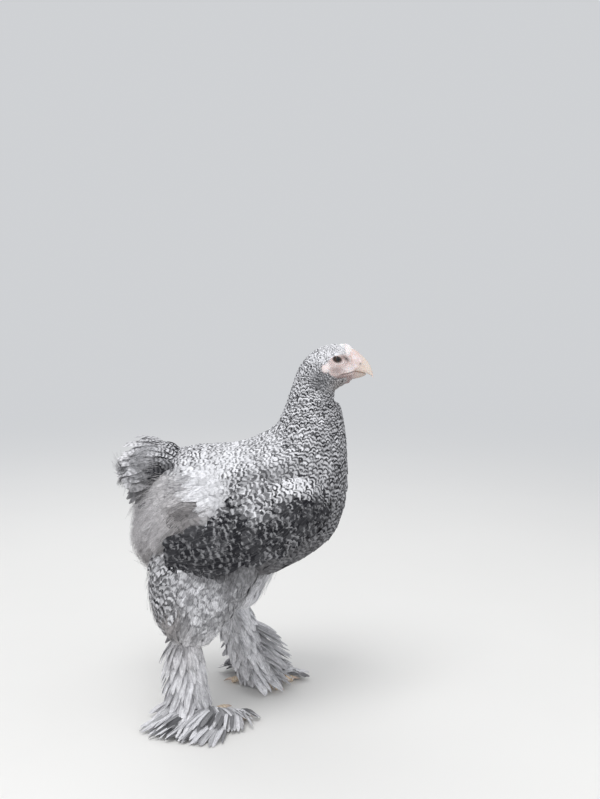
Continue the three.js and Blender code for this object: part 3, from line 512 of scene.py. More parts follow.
def thigh_point(leg):
    hip, hock = joint(leg, "hip"), joint(leg, "hock")
    axis = unit(hock - hip)
    forward = unit(np.array([1.0, 0, 0]) - axis * axis[0])
    outward = np.array([0, leg["side"], 0])

    def point(place, height=0.0):
        share, angle = place[..., :1], place[..., 1:]
        row = spline(THIGH, row_of(THIGH, place[..., 0]))
        bulge, along, across = row[..., 1:2], row[..., 2:3], row[..., 3:4]
        back = THIGH_BACK * np.sin(np.pi * np.clip(share, 0, 1))
        centre = hip + (hock - hip) * share + outward * bulge - forward * back
        high = np.expand_dims(height, -1)
        ahead = forward * np.cos(angle) * (along + high)
        return centre + ahead + outward * np.sin(angle) * (across + high)

    return point


def shank_point(leg):
    hock, ankle = joint(leg, "hock"), joint(leg, "ankle")
    axis = unit(ankle - hock)
    forward = unit(np.array([1.0, 0, 0]) - axis * axis[0])
    outward = np.array([0, leg["side"], 0])

    def point(place, height=0.0):
        share, angle = place[..., :1], place[..., 1:]
        row = spline(SHANK, row_of(SHANK, place[..., 0]))
        high = np.expand_dims(height, -1)
        along, across = row[..., 1:2] + high, row[..., 2:3] + high
        ahead = forward * np.cos(angle) * along
        return hock + (ankle - hock) * share + ahead + outward * np.sin(angle) * across

    return point


def on_shell(side, x, z, height):
    """A point of the shell that the wing lies on, or at a height off it."""
    bend = np.where(x > SHELL["x"], SHELL["front"], SHELL["rear"])
    curl = np.where(z > SHELL["z"], SHELL["above"], SHELL["below"])
    y = SHELL["y"] - bend * (x - SHELL["x"]) ** 2 - curl * (z - SHELL["z"]) ** 2
    return vec(x, side * (y + height), z)


def wing_form(side):
    """The wing's core: the first number runs along it, the second round it."""
    lean = math.radians(WING_LEAN)

    def point(place, height=0.0):
        row = spline(WING_CORE, place[..., 0])
        x, z, high, thick = np.moveaxis(row, -1, 0)
        q = np.cos(place[..., 1]) * (high + height)
        off = np.sin(place[..., 1]) * (thick + height)
        return on_shell(side, x - math.sin(lean) * q, z + math.cos(lean) * q, off)

    return point


def tail_form(place, height=0.0):
    """The tail's core: the first number runs along it, the second round it."""
    x, z, wide, high = np.moveaxis(spline(TAIL_CORE, place[..., 0]), -1, 0)
    return vec(x, np.sin(place[..., 1]) * (wide + height), z + np.cos(place[..., 1]) * (high + height))


BODY_CHART = ((0.01, 0.01), (0.98, 0.46), (0, BODY_END))
TAIL_CHART = ((0.79, 0.51), (0.19, 0.2), (0, 5))
body = Surface(body_point, (0.04, 0.02), 1, (0.3, BODY_END), BODY_CHART)
tail = Surface(tail_form, (0.04, 0.02), -1, (0, 4.6), TAIL_CHART)
thighs, shanks, wings = {}, {}, {}
for number, (name, leg) in enumerate(LEGS.items()):
    side = leg["side"]
    edge = 0.01 + 0.39 * number
    chart = ((edge, 0.51), (0.24, 0.23), (-0.12, 1.05))
    thighs[name] = Surface(thigh_point(leg), (0.01, 0.02), side, (-0.1, 1.0), chart)
    chart = ((edge + 0.26, 0.51), (0.12, 0.12), (-0.1, 1.04))
    shanks[name] = Surface(shank_point(leg), (0.02, 0.02), side, (-0.1, 1.0), chart)
    chart = ((edge, 0.76), (0.37, 0.22), (0, 8))
    wings[name] = Surface(wing_form(side), (0.04, 0.02), -side, (0, 8), chart)


def coat_at(points, table=COAT):
    """The coat's values at points of the side view, blended from the regions round them."""
    rows = np.array(table, float)
    away = np.hypot(points[..., 0, None] - rows[:, 0], points[..., 2, None] - rows[:, 1]) / rows[:, 2]
    weight = 1 / (0.02 + away**4)
    return (weight[..., None] * rows).sum(-2) / weight.sum(-1)[..., None]


def gap_of(table, share=1.0):
    """The spacing of the feathers that a coat's table gives, times a share."""
    return lambda here: coat_at(here, table)[..., SPACING] * share


def ear_reach(x, z, long, high):
    """Distance from the middle of the ear: 1 on an oval of a given half length and half height."""
    return np.hypot((x - EAR["x"]) / long, (z - EAR["z"]) / high)


def bare_at(points):
    """How bare the face is: 1 on the skin round the eye and the bill, 0 where the feathers begin."""
    x, z = points[..., 0], points[..., 2]
    face = 1 - rise(np.hypot((x - 117) / 20, (z - 431) / 15.5), 0.86, 1.04)
    ear = 1 - rise(ear_reach(x, z, 5.6, 6.6), 0.85, 1.1)
    chin = rise(x, 117, 125) * rise(z, 402, 408)
    comb = rise(x, 119, 123) * rise(z, 444, 448)
    crown = rise(z, 445.5 + 0.25 * (x - 110), 449 + 0.25 * (x - 110)) * (1 - rise(x, 118, 121))
    return np.clip(np.maximum(np.maximum(face, ear), np.maximum(chin, comb)) - crown, 0, 1)


# Meshes


def to_frame(points):
    """From millimetres in the drawing to metres in the frame."""
    return points * MM + shift


def middle_of_eyes():
    """How far the drawing moves so that its eyes lie in the middle of the frame's eyes."""
    corners = [corner for name in ("eye_right", "eye_left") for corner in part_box(name)]
    middle = sum(corners, Vector()) / len(corners)
    return np.array([middle.x - EYE["x"] * MM, middle.y, 0])


shift = middle_of_eyes()


def make_mesh(name, points, faces, bake, values):
    """A mesh object from points in the drawing, four-cornered faces, its OFBake map and named values."""
    mesh = bpy.data.meshes.new(name)
    mesh.vertices.add(len(points))
    mesh.vertices.foreach_set("co", to_frame(points).astype(np.float32).ravel())
    corners = faces.astype(np.int32).ravel()
    mesh.loops.add(len(corners))
    mesh.loops.foreach_set("vertex_index", corners)
    mesh.polygons.add(len(faces))
    mesh.polygons.foreach_set("loop_start", np.arange(0, len(corners), 4, dtype=np.int32))
    mesh.update(calc_edges=True)
    mesh.polygons.foreach_set("use_smooth", np.ones(len(faces), bool))
    layer = mesh.uv_layers.new(name="OFBake")
    layer.data.foreach_set("uv", bake[corners].astype(np.float32).ravel())
    for key, value in values.items():
        kind, slot = ("FLOAT_VECTOR", "vector") if value.shape[-1] == 3 else ("FLOAT_COLOR", "color")
        attribute = mesh.attributes.new(key, kind, "POINT")
        attribute.data.foreach_set(slot, value.astype(np.float32).ravel())
    mesh.validate()
    made = bpy.data.objects.new(name, mesh)
    bpy.context.scene.collection.objects.link(made)
    return made


def dress(piece, material, slot, *nodes):
    """Gives a piece its material and the root body, and hides the nodes that it stands for. slot is not used.
    """
    piece.data.materials.append(material)
    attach(piece, "root")
    if nodes:
        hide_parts(*nodes)
    return piece


def tube_faces(rings, sides):
    """Faces of a closed tube: rings of points one after another, then the two end points."""
    k, i = np.meshgrid(np.arange(rings - 1), np.arange(sides), indexing="ij")
    j = (i + 1) % sides
    quads = np.stack([k * sides + i, (k + 1) * sides + i, (k + 1) * sides + j, k * sides + j], -1)
    quads = quads.reshape(-1, 4)
    i = np.arange(0, sides, 2)
    first, last = rings * sides, rings * sides + 1
    base = (rings - 1) * sides
    near = np.stack([np.full(len(i), first), i, i + 1, (i + 2) % sides], -1)
    far = np.stack([np.full(len(i), last), base + (i + 2) % sides, base + i + 1, base + i], -1)
    return np.concatenate([quads, near, far])


def join(parts):
    """One set of arrays from several, with the corners of their faces counted on."""
    start = np.cumsum([0] + [len(part["points"]) for part in parts])
    keys = [key for key in parts[0] if key != "faces"]
    joined = {key: np.concatenate([part[key] for part in parts]) for key in keys}
    joined["faces"] = np.concatenate([part["faces"] + begin for part, begin in zip(parts, start)])
    return joined


def joined_piece(name, parts, material, slot, *nodes):
    """A piece made of several closed parts."""
    whole = join(parts)
    values = {key: whole[key] for key in ("Vane", "Look") if key in whole}
    made = make_mesh(name, whole["points"], whole["faces"], whole["bake"], values)
    return dress(made, material, slot, *nodes)


def look_of(values, rng=None):
    """Lightness with its painted shade, bar strength, warmth and dark share, with a little change from
    feather to feather.
    """
    picked = values[..., [LIGHT_AND_SHADE, BARS, WARM, DARK_SHARE]].copy()
    if rng is not None:
        picked[..., 0] *= rng.normal(1, 0.1, picked.shape[:-1])
        picked[..., 1] *= rng.uniform(0.8, 1.06, picked.shape[:-1])
    return np.clip(picked, 0, 1)


# Sculpting of the head


def eye_reach(x, z):
    """How far a place of the side view is from the middle of the eye: 1 at the edge of its opening."""
    along = x - EYE["x"]
    up = z - EYE["z"] + LIDS["slant"] * along
    half_length, half_height = LIDS["opening"]
    return np.hypot(along / half_length, up / (half_height * np.where(up > 0, LIDS["upper"], LIDS["lower"])))


def mouth_at(x):
    """The place of the mouth's line that is nearest to an x of the side view."""
    share = np.clip((x - MOUTH_BACK[0]) / (MOUTH_FRONT[0] - MOUTH_BACK[0]), 0, 1)
    return mix(MOUTH_BACK[0], MOUTH_FRONT[0], share), mix(MOUTH_BACK[1], MOUTH_FRONT[1], share)


def shaped_head(points, normals):
    """Moves the skin's points for the folds, sockets, ear lobes, mouth and comb of the head."""
    x, y, z = np.moveaxis(points, -1, 0)
    aside = rise(np.abs(y), 3, 8)
    eye = eye_reach(x, z)
    height = 0.7 * bell(np.hypot((x - 109) / 9, (z - 447) / 2.6)) * aside
    height += 1.0 * bell(np.hypot((x - 108) / 8, (z - 429) / 4.5)) * aside
    height -= 0.9 * bell(np.hypot((x - 122) / 4, (z - 437) / 6)) * aside
    height -= 0.4 * bell((eye - 1.62) / 0.13) * aside
    for ring in UNDER_EYE:
        height -= 0.45 * bell((eye - ring) / 0.13) * aside * rise(EYE["z"] - z, 0, 3)
    ear = ear_reach(x, z, EAR["long"], EAR["high"])
    height += EAR["proud"] * (1 - rise(ear, 0.3, 1.2)) * aside
    height -= 0.35 * bell((ear - 1.2) / 0.2) * aside * (z < 434)
    mouth_x, mouth_z = mouth_at(x)
    line = np.hypot(x - mouth_x, z - mouth_z)
    height -= 1.7 * bell(line / 0.7) * aside
    height += 0.5 * bell((line - 1.8) / 0.9) * aside * np.where(z > mouth_z, 1, 0.6)
    for fold in range(3):
        slope = (z - 432 + 3.4 * fold) + 0.35 * (x - 116)
        height += 0.22 * bell(slope / 0.8) * bell((x - 117) / 7) * aside
    for row in (-1, 0, 1):
        along = np.clip((x - COMB["from"]) / (COMB["to"] - COMB["from"]), 0, 1)
        beads = 0.75 + 0.25 * np.abs(np.cos(along * math.pi * (5 if row == 0 else 4)))
        tall = COMB["height"] * (1 if row == 0 else 0.6) * np.sin(mix(0.1, 2.9, along)) * beads
        height += tall * bell((y - row * COMB["row"]) / 1.4) * rise(normals[..., 2], 0.2, 0.7) * (z > 440)
    shaped = points + normals * height[..., None]
    inside = EYE["radius"] ** 2 - (x - EYE["x"]) ** 2 - (z - EYE["z"]) ** 2
    ball = EYE["y"] + np.sqrt(np.maximum(inside, 0))
    out = np.abs(shaped[..., 1])
    out = np.where(ball > EYE["y"], np.maximum(out, ball + 0.3), out)
    out = mix(out, ball - 1.5, (1 - rise(eye, 0.9, 1.01)) * aside)
    shaped[..., 1] = np.sign(y) * out
    return shaped


def skin_island(surface, rows, sides, depth, sculpt=None):
    """A closed part of the skin, in rings under the coat of a surface."""
    angles = np.arange(sides) / sides * FULL_TURN
    place = np.stack(np.meshgrid(rows, angles, indexing="ij"), -1)
    points = surface.point(place, -depth(place))
    middles = points[[0, -1]].mean(1)
    place, points = place.reshape(-1, 2), points.reshape(-1, 3)
    if sculpt:
        points = sculpt(points, surface.frame(place)[2])
    ends = np.array([[rows[0], 0.1], [rows[-1], 0.1]])
    return {
        "points": np.concatenate([points, middles]),
        "faces": tube_faces(len(rows), sides)[:, :: surface.turn],
        "bake": surface.bake_place(np.concatenate([place, ends])),
    }


def body_depth(place):
    """How deep the skin lies: less on the head, least on the face, and sunk at the root of the bill."""
    bare_head = rise(place[..., 0], NAPE - 3, NAPE + 3)
    bill_root = 2.4 * rise(place[..., 0], BODY_END - 1.1, BODY_END)
    return mix(COAT_DEPTH, HEAD_DEPTH, bare_head) * (1 - 0.8 * rise(place[..., 0], 21, 23)) + bill_root


def even_depth(depth):
    """The same depth of the skin at every place."""
    return lambda place: np.full(place.shape[:-1], float(depth))


def wattle(side):
    """A small soft lobe under the jaw."""
    rings, sides = 14, 18
    size = np.array([WATTLE["long"], WATTLE["thick"], WATTLE["high"]])
    middle = np.array([WATTLE["x"], side * WATTLE["y"], WATTLE["z"]])
    polar = np.linspace(0.12, math.pi - 0.12, rings)[:, None]
    turn = np.arange(sides)[None] / sides * FULL_TURN
    form = vec(np.sin(polar) * np.cos(turn), np.sin(polar) * np.sin(turn), np.cos(polar))
    form = np.concatenate([form.reshape(-1, 3), [[0, 0, 1], [0, 0, -1]]])
    bake = 0.985 + 0.01 * form[:, [0, 2]]
    return {"points": form * size + middle, "faces": tube_faces(rings, sides), "bake": bake}


def lid(side, upper):
    """A rim of the eye opening: a thin fold that lies on the eyeball from corner to corner."""
    steps, sides = 22, 10
    share = np.linspace(0, 1, steps)
    turn = math.pi * (share * 1.06 - 0.03) * (1 if upper else -1)
    half_length, half_height = LIDS["opening"]
    high = half_height * LIDS["upper" if upper else "lower"] + 0.05
    x = EYE["x"] + (half_length + 0.1) * np.cos(turn)
    z = EYE["z"] + high * np.sin(turn) - LIDS["slant"] * (x - EYE["x"])
    reach = np.hypot(x - EYE["x"], z - EYE["z"])
    y = EYE["y"] + np.sqrt(np.maximum(EYE["radius"] ** 2 - reach**2, 4)) - 0.1
    centre = vec(x, side * y, z)
    tangent = unit(np.gradient(centre, axis=0))
    out = unit(centre - np.array([EYE["x"], side * EYE["y"], EYE["z"]]))
    edge = unit(np.cross(tangent, out))
    radius = LIDS["rim"] * (0.55 + 0.45 * np.sin(math.pi * share) ** 0.6)
    angle = np.arange(sides) / sides * FULL_TURN
    ring = centre[:, None] + out[:, None] * (np.sin(angle) * radius[:, None] * 0.7)[..., None]
    ring = ring + edge[:, None] * (np.cos(angle) * radius[:, None] * 1.2)[..., None]
    turned = 1 if (side > 0) == upper else -1
    points = np.concatenate([ring.reshape(-1, 3), centre[[0, -1]]])
    bake = np.array([0.96, 0.985]) + 0.004 * np.sin(np.arange(len(points)))[:, None]
    return {"points": points, "faces": tube_faces(steps, sides)[:, ::turned], "bake": bake}


def skin_islands():
    """The skin's closed parts: body, legs, wings, wattles, lids and tail."""
    rows = np.concatenate([np.linspace(0, NAPE, 90), np.linspace(NAPE, BODY_END, 225)[1:]])
    islands = [skin_island(body, rows, 208, body_depth, shaped_head)]
    for name, leg in LEGS.items():
        side = leg["side"]
        islands += [
            skin_island(thighs[name], np.linspace(-0.12, 1.05, 40), 48, even_depth(7)),
            skin_island(shanks[name], np.linspace(-0.1, 1.04, 30), 32, even_depth(4)),
            skin_island(wings[name], np.linspace(0.1, 7.9, 50), 40, even_depth(0.5)),
            wattle(side),
            lid(side, True),
            lid(side, False),
        ]
    islands.append(skin_island(tail, np.linspace(0, 5, 26), 40, even_depth(3)))
    return islands


# Feathers


def walk(surface, place, way, length, steps):
    """Paths over a surface: points and normals, each (feathers, steps, 3)."""
    spot = place.copy()
    here = surface.point(spot)
    pace = (length / (steps - 1))[:, None]
    points, normals = [], []
    for _ in range(steps):
        first, second, normal = surface.frame(spot)
        goal = way(here, first, second)
        goal = unit(goal - dot(goal, normal) * normal)
        points.append(here)
        normals.append(normal)
        a, b, c = dot(first, first), dot(first, second), dot(second, second)
        f, g = dot(first, goal), dot(second, goal)
        det = np.maximum(a * c - b * b, 1e-6)
        move = np.concatenate([(c * f - b * g) / det, (a * g - b * f) / det], -1) * pace
        moved = spot + move
        inside = ((moved[:, 0] > surface.ends[0]) & (moved[:, 0] < surface.ends[1]))[:, None]
        here = np.where(inside, surface.point(moved), here + goal * pace)
        spot = np.where(inside, moved, spot)
    return np.stack(points, 1), np.stack(normals, 1)


def scatter(surface, low, high, gap_at, seed, keep=None):
    """Places spread over part of a surface, none nearer to another than the gap there."""
    rng = np.random.default_rng(seed)
    trial = rng.uniform(low, high, (TRIALS, 2))
    points = surface.point(trial)
    first, second, _ = surface.frame(trial)
    area = np.linalg.norm(np.cross(first, second), axis=-1)
    gap = gap_at(points)
    weight = area / gap**2
    if keep is not None:
        weight = weight * keep(points)
    count = CROWDING * int(weight.mean() * np.prod(np.subtract(high, low)))
    chosen = rng.choice(TRIALS, min(count, TRIALS), p=weight / weight.sum())
    cell = float(gap.max())
    cells = {}
    kept = []
    for i in chosen:
        p, g = points[i], gap[i]
        key = tuple((p // cell).astype(int))
        near = [
            other
            for a in (-1, 0, 1)
            for b in (-1, 0, 1)
            for c in (-1, 0, 1)
            for other in cells.get((key[0] + a, key[1] + b, key[2] + c), ())
        ]
        if near and min((p[0] - q[0]) ** 2 + (p[1] - q[1]) ** 2 + (p[2] - q[2]) ** 2 for q in near) < g * g:
            continue
        cells.setdefault(key, []).append(p)
        kept.append(i)
    return trial[kept]


def resample(path, share):
    """Values of a path of even steps at the given shares of its length."""
    steps = path.shape[1] - 1
    i = np.minimum((share * steps).astype(int), steps - 1)
    f = (share * steps - i)[None, :, None]
    return path[:, i] * (1 - f) + path[:, i + 1] * f


def vanes(
    points, normals, width, shape, bake, look, step, rng,
    share=VANE_SHARE, thick=0.4, cup=0.22, twist=0.0, turn=0.0, ragged=0.06,
):
    """Closed feathers along paths. Each section is a thin arrowhead that sags towards its edges."""
    count, steps = points.shape[:2]
    tangent = unit(np.gradient(points, axis=1))
    across = unit(np.cross(normals, tangent))
    up = unit(np.cross(tangent, across))
    roll = (turn + rng.normal(0, 1, count) * twist)[:, None, None]
    across, up = across * np.cos(roll) + up * np.sin(roll), up * np.cos(roll) - across * np.sin(roll)
    half = width[:, None] * shape[None] / 2 * rng.uniform(1 - ragged, 1 + ragged, (count, steps))
    half = half[..., None]
    sag = half * cup
    sections = np.stack(
        [
            points - across * half - up * sag,
            points + up * thick / 2,
            points + across * half - up * sag,
            points - up * thick / 2,
        ],
        2,
    )
    i = np.arange(steps - 1)[:, None] * 4
    k = np.arange(4)[None]
    j = (k + 1) % 4
    sides = np.stack(np.broadcast_arrays(i + k, i + 4 + k, i + 4 + j, i + j), -1).reshape(-1, 4)
    end = (steps - 1) * 4
    one = np.concatenate([sides, [[0, 1, 2, 3]], [[end + 3, end + 2, end + 1, end]]])
    faces = (one[None] + (np.arange(count) * steps * 4)[:, None, None]).reshape(-1, 4)
    length = np.linalg.norm(np.diff(points, axis=1), axis=-1).sum(1)
    lateral = np.broadcast_to(np.array([-1, 0, 1, 0.0]), (count, steps, 4))
    cycles = (1 - share)[None, :, None] * (length / step)[:, None, None]
    cycles = cycles + rng.uniform(-0.5, 0.5, (count, 1, 1))
    seed = np.broadcast_to(rng.uniform(0, 1, (count, 1, 1)), (count, steps, 4))
    vane = np.stack([lateral, np.broadcast_to(cycles, (count, steps, 4)), seed], -1)
    spread = np.stack([lateral * 0.5, np.broadcast_to((share - 0.5)[None, :, None], (count, steps, 4))], -1)
    sections[..., 2] = np.maximum(sections[..., 2], FEATHER_GAP + np.array([0, 0.3, 0, -0.2]))
    patch = bake[:, None, None] + spread * PATCH
    tint = np.broadcast_to(look[:, None, None], (count, steps, 4, 4))
    return {
        "points": sections.reshape(-1, 3),
        "faces": faces,
        "bake": patch.reshape(-1, 2),
        "Vane": vane.reshape(-1, 3),
        "Look": tint.reshape(-1, 4),
    }


def coat_piece(name, parts, material, slot):
    """A piece of the coat. Edges sharper than the angle below aren't smoothed."""
    made = joined_piece(name, parts, material, slot)
    triangles = 2 * len(made.data.polygons)
    if triangles > PIECE_LIMIT:
        raise ValueError(f"{name} has {triangles} triangles")
    made.data.set_sharp_from_angle(angle=math.radians(75))


def laid(surface, place, way, style, rng, table=COAT):
    """Feathers over a surface from their places, each along a way, in a style."""
    style = STYLE | style
    values = coat_at(surface.point(place), table)
    values[:, [LENGTH, WIDTH]] *= (1 - 0.5 * bare_at(surface.point(place)))[:, None]
    length = values[:, LENGTH] * rng.uniform(0.88, 1.12, len(place)) * style["longer"]
    width = values[:, WIDTH] * rng.uniform(0.9, 1.1, len(place)) * style["wider"]
    path, normals = walk(surface, place, way, length, 8)
    share = style["share"]
    points, normals = resample(path, share), unit(resample(normals, share))
    root, tip = style["lift"]
    tips = tip + rng.normal(0, style["loose"], len(place))
    height = root + (tips[:, None] - root) * share[None] + style["bow"] * np.sin(math.pi * share)[None]
    sway = rng.normal(0, style["sway"], len(place))[:, None] * length[:, None] * share[None] ** 1.5
    aside = unit(np.cross(normals, np.gradient(points, axis=1)))
    points = points + normals * height[..., None] + aside * sway[..., None]
    look = look_of(coat_at(path[:, 5], table), rng)
    form = {key: style[key] for key in ("share", "thick", "cup", "twist", "ragged")}
    bake = surface.bake_place(place)
    return vanes(points, normals, width, style["shape"], bake, look, values[:, BAR_STEP], rng, **form)


def strands(surface, low, high, gap, seed, way, table, keep=None, **style):
    """Loose down over part of a surface, in thin strands."""
    rng = np.random.default_rng(seed)
    roots = scatter(surface, low, high, lambda here: np.full(len(here), gap), seed, keep)
    return laid(surface, roots, way, STRAND_STYLE | style, rng, table)


# Materials


class Graph:
    """Short calls that add and link shader nodes."""

    def __init__(self, tree):
        self.tree = tree

    def put(self, kind, inputs=(), **settings):
        node = self.tree.nodes.new(kind)
        for key, value in settings.items():
            setattr(node, key, value)
        for key, value in dict(inputs).items():
            self.feed(value, node.inputs[key])
        return node

    def feed(self, value, socket):
        if isinstance(value, bpy.types.NodeSocket):
            self.tree.links.new(value, socket)
        else:
            socket.default_value = value

    def math(self, operation, a, b=0.0, c=0.0):
        return self.put("ShaderNodeMath", {0: a, 1: b, 2: c}, operation=operation).outputs[0]

    def plus(self, a, b):
        return self.math("ADD", a, b)

    def minus(self, a, b):
        return self.math("SUBTRACT", a, b)

    def times(self, a, b):
        return self.math("MULTIPLY", a, b)

    def wave(self, phase):
        """A sine between 0 and 1."""
        return self.math("MULTIPLY_ADD", self.math("SINE", phase), 0.5, 0.5)

    def colour(self, factor, a, b, blend="MIX"):
        node = self.put("ShaderNodeMix", data_type="RGBA", blend_type=blend)
        self.feed(factor, node.inputs[0])
        self.feed(a, node.inputs[6])
        self.feed(b, node.inputs[7])
        return node.outputs[2]

    def tinted(self, factor, colour, tint):
        """A colour, multiplied by a tint as far as the factor says."""
        return self.colour(factor, colour, self.colour(1.0, colour, tint, "MULTIPLY"))

    def ramp(self, value, low, high, out_low=0.0, out_high=1.0):
        inputs = {0: value, 1: low, 2: high, 3: out_low, 4: out_high}
        return self.put("ShaderNodeMapRange", inputs, interpolation_type="SMOOTHSTEP").outputs[0]

    def place(self):
        return self.put("ShaderNodeTexCoord").outputs["Object"]

    def noise(self, scale, detail, vector=None):
        inputs = {"Scale": scale, "Detail": detail, "Vector": vector or self.place()}
        return self.put("ShaderNodeTexNoise", inputs).outputs["Fac"]

    def bump(self, height, distance, strength):
        inputs = {"Height": height, "Distance": distance, "Strength": strength}
        return self.put("ShaderNodeBump", inputs).outputs["Normal"]

    def named(self, name):
        """A named value of the mesh."""
        return self.put("ShaderNodeAttribute", attribute_name=name)

    def vane(self):
        """The three numbers of the mesh's Vane value."""
        return self.put("ShaderNodeSeparateXYZ", {0: self.named("Vane").outputs["Vector"]}).outputs


def new_material(name, **sockets):
    """A material, its graph and its shader, with the shader's values that are the same all over."""
    material = bpy.data.materials.new(name)
    material.use_nodes = True
    shader = material.node_tree.nodes["Principled BSDF"]
    for socket, value in sockets.items():
        shader.inputs[socket.replace("_", " ")].default_value = value
    return material, Graph(material.node_tree), shader.inputs


SLATE = (0.014, 0.014, 0.018, 1)
PALE = (0.92, 0.92, 0.95, 1)
BUFF = (0.93, 0.83, 0.76, 1)
FIBRE = (0.2, 0.2, 0.22, 1)
PINK = (0.72, 0.58, 0.55, 1)
BLUSH = (0.84, 0.77, 0.76, 1)
CREAM = (0.9, 0.85, 0.86, 1)
# Next: the face's duskier skin and its painted shade.
DUSKY_SHADE = (0.31, 0.23, 0.22, 1)
ROSE = (0.55, 0.33, 0.31, 1)
SHADOW = (0.05, 0.035, 0.035, 1)
HORN_STREAK = (0.7, 0.5, 0.42, 1)
# Next: painted shade on the bill, over the lower bill and in the nostril.
HORN_SHADE = (0.12, 0.08, 0.075, 1)


def coat_colour(g, look, bar):
    """The coat's colour from its look values and the strength of a dark bar."""
    light, strength, warmth = g.put("ShaderNodeSeparateColor", {0: look.outputs["Color"]}).outputs
    base = g.colour(g.math("POWER", light, 1.5), SLATE, PALE)
    base = g.tinted(warmth, base, BUFF)
    return g.colour(g.times(bar, strength), base, SLATE)


def feather_material(name, barb, rough, sheen, streak, blur, blotch):
    """Barred feathers. blur softens the bars, and blotch breaks them up into clouds."""
    shader_values = {"Sheen_Weight": sheen, "Sheen_Roughness": 0.6, "Specular_IOR_Level": 0.15}
    material, g, shader = new_material(name, **shader_values)
    look = g.named("Look")
    dark = look.outputs["Alpha"]
    across, cycles, seed = g.vane()
    aside = g.math("ABSOLUTE", across)
    bend = g.times(g.math("POWER", aside, 1.6), 0.4)
    wobble = g.times(g.minus(g.noise(105.0, 2.0), 0.5), 1.7)
    phase = g.plus(g.plus(cycles, bend), g.plus(wobble, g.times(seed, 0.3)))
    wave = g.wave(g.times(phase, FULL_TURN))
    edge = g.minus(1.0, dark)
    bar = g.ramp(wave, g.minus(edge, blur), g.plus(edge, blur))
    gap = g.times(g.ramp(g.noise(140.0, 2.0), 0.45, 0.57), g.ramp(dark, 0.57, 0.69))
    broken = g.times(g.ramp(g.noise(190.0, 2.0), 0.5, 0.6), g.ramp(dark, 0.38, 0.52, 0.9, 0.25))
    bar = g.times(bar, g.minus(1.0, broken))
    cloud = g.times(g.ramp(g.noise(72.0, 2.0), 0.48, 0.6), blotch)
    bar = g.math("MAXIMUM", g.times(bar, 1 - 0.35 * blotch), cloud)
    colour = coat_colour(g, look, g.math("MAXIMUM", bar, gap))
    mottle = g.noise(420.0, 3.0)
    colour = g.tinted(g.ramp(mottle, 0.3, 0.7, 0.0, 0.16), colour, SLATE)
    lines = {0: g.times(across, 2.2), 1: g.times(cycles, 0.35), 2: g.times(seed, 30.0)}
    fibre = g.noise(3.0, 3.0, g.put("ShaderNodeCombineXYZ", lines).outputs[0])
    colour = g.tinted(g.ramp(fibre, 0.42, 0.68, 0.0, streak), colour, FIBRE)
    colour = g.colour(g.ramp(aside, 0.02, 0.1, 0.035, 0.0), colour, PALE)
    g.feed(colour, shader["Base Color"])
    ridges = g.math("SINE", g.plus(g.times(cycles, 34.0), g.times(aside, 22.0)))
    height = g.plus(g.times(ridges, barb), g.times(mottle, 0.6))
    g.feed(g.bump(height, 0.0003, 0.5), shader["Normal"])
    g.feed(g.ramp(mottle, 0.25, 0.75, rough - 0.1, rough + 0.1), shader["Roughness"])
    return material


def flesh_colour(g, fine):
    """Bare skin: pink and paler blotches, with rosy grains."""
    flesh = g.colour(g.ramp(g.noise(160.0, 4.0), 0.35, 0.7), PINK, BLUSH)
    return g.colour(g.times(g.ramp(fine, 0.5, 0.62), 0.25), flesh, ROSE)


def skin_material():
    """The skin: the coat's colour under feathers, and bare flesh on the face with duskier skin and painted
    shade.
    """
    shader_values = {
        "Subsurface_Weight": 0.08,
        "Subsurface_Radius": (0.003, 0.0012, 0.0008),
        "Subsurface_Scale": 1.0,
        "Specular_IOR_Level": 0.35,
    }
    material, g, shader = new_material("bare_skin", **shader_values)
    look = g.named("Look")
    bareness, dusky_skin_and_shade, painted_shade = g.vane()
    fine = g.noise(900.0, 3.0)
    under = coat_colour(g, look, g.ramp(g.noise(170.0, 2.0), 0.45, 0.55))
    pale = g.put("ShaderNodeSeparateColor", {0: look.outputs["Color"]}).outputs[2]
    flesh = g.colour(pale, flesh_colour(g, fine), CREAM)
    # Duskier skin on the cheek, with painted shade on the jaw, round the socket and in the folds under the
    # eye.
    flesh = g.colour(dusky_skin_and_shade, flesh, DUSKY_SHADE)
    # Painted shade on the lores, round the eye's opening, along the mouth's line and on the lids.
    flesh = g.colour(painted_shade, flesh, SHADOW)
    g.feed(g.colour(bareness, under, flesh), shader["Base Color"])
    grain = g.put("ShaderNodeTexVoronoi", {"Vector": g.place(), "Scale": 900.0}).outputs["Distance"]
    height = g.plus(g.times(grain, 0.7), g.times(g.noise(160.0, 4.0), 0.8))
    g.feed(g.bump(height, 0.0004, 0.6), shader["Normal"])
    g.feed(g.ramp(fine, 0.3, 0.7, 0.42, 0.62), shader["Roughness"])
    return material


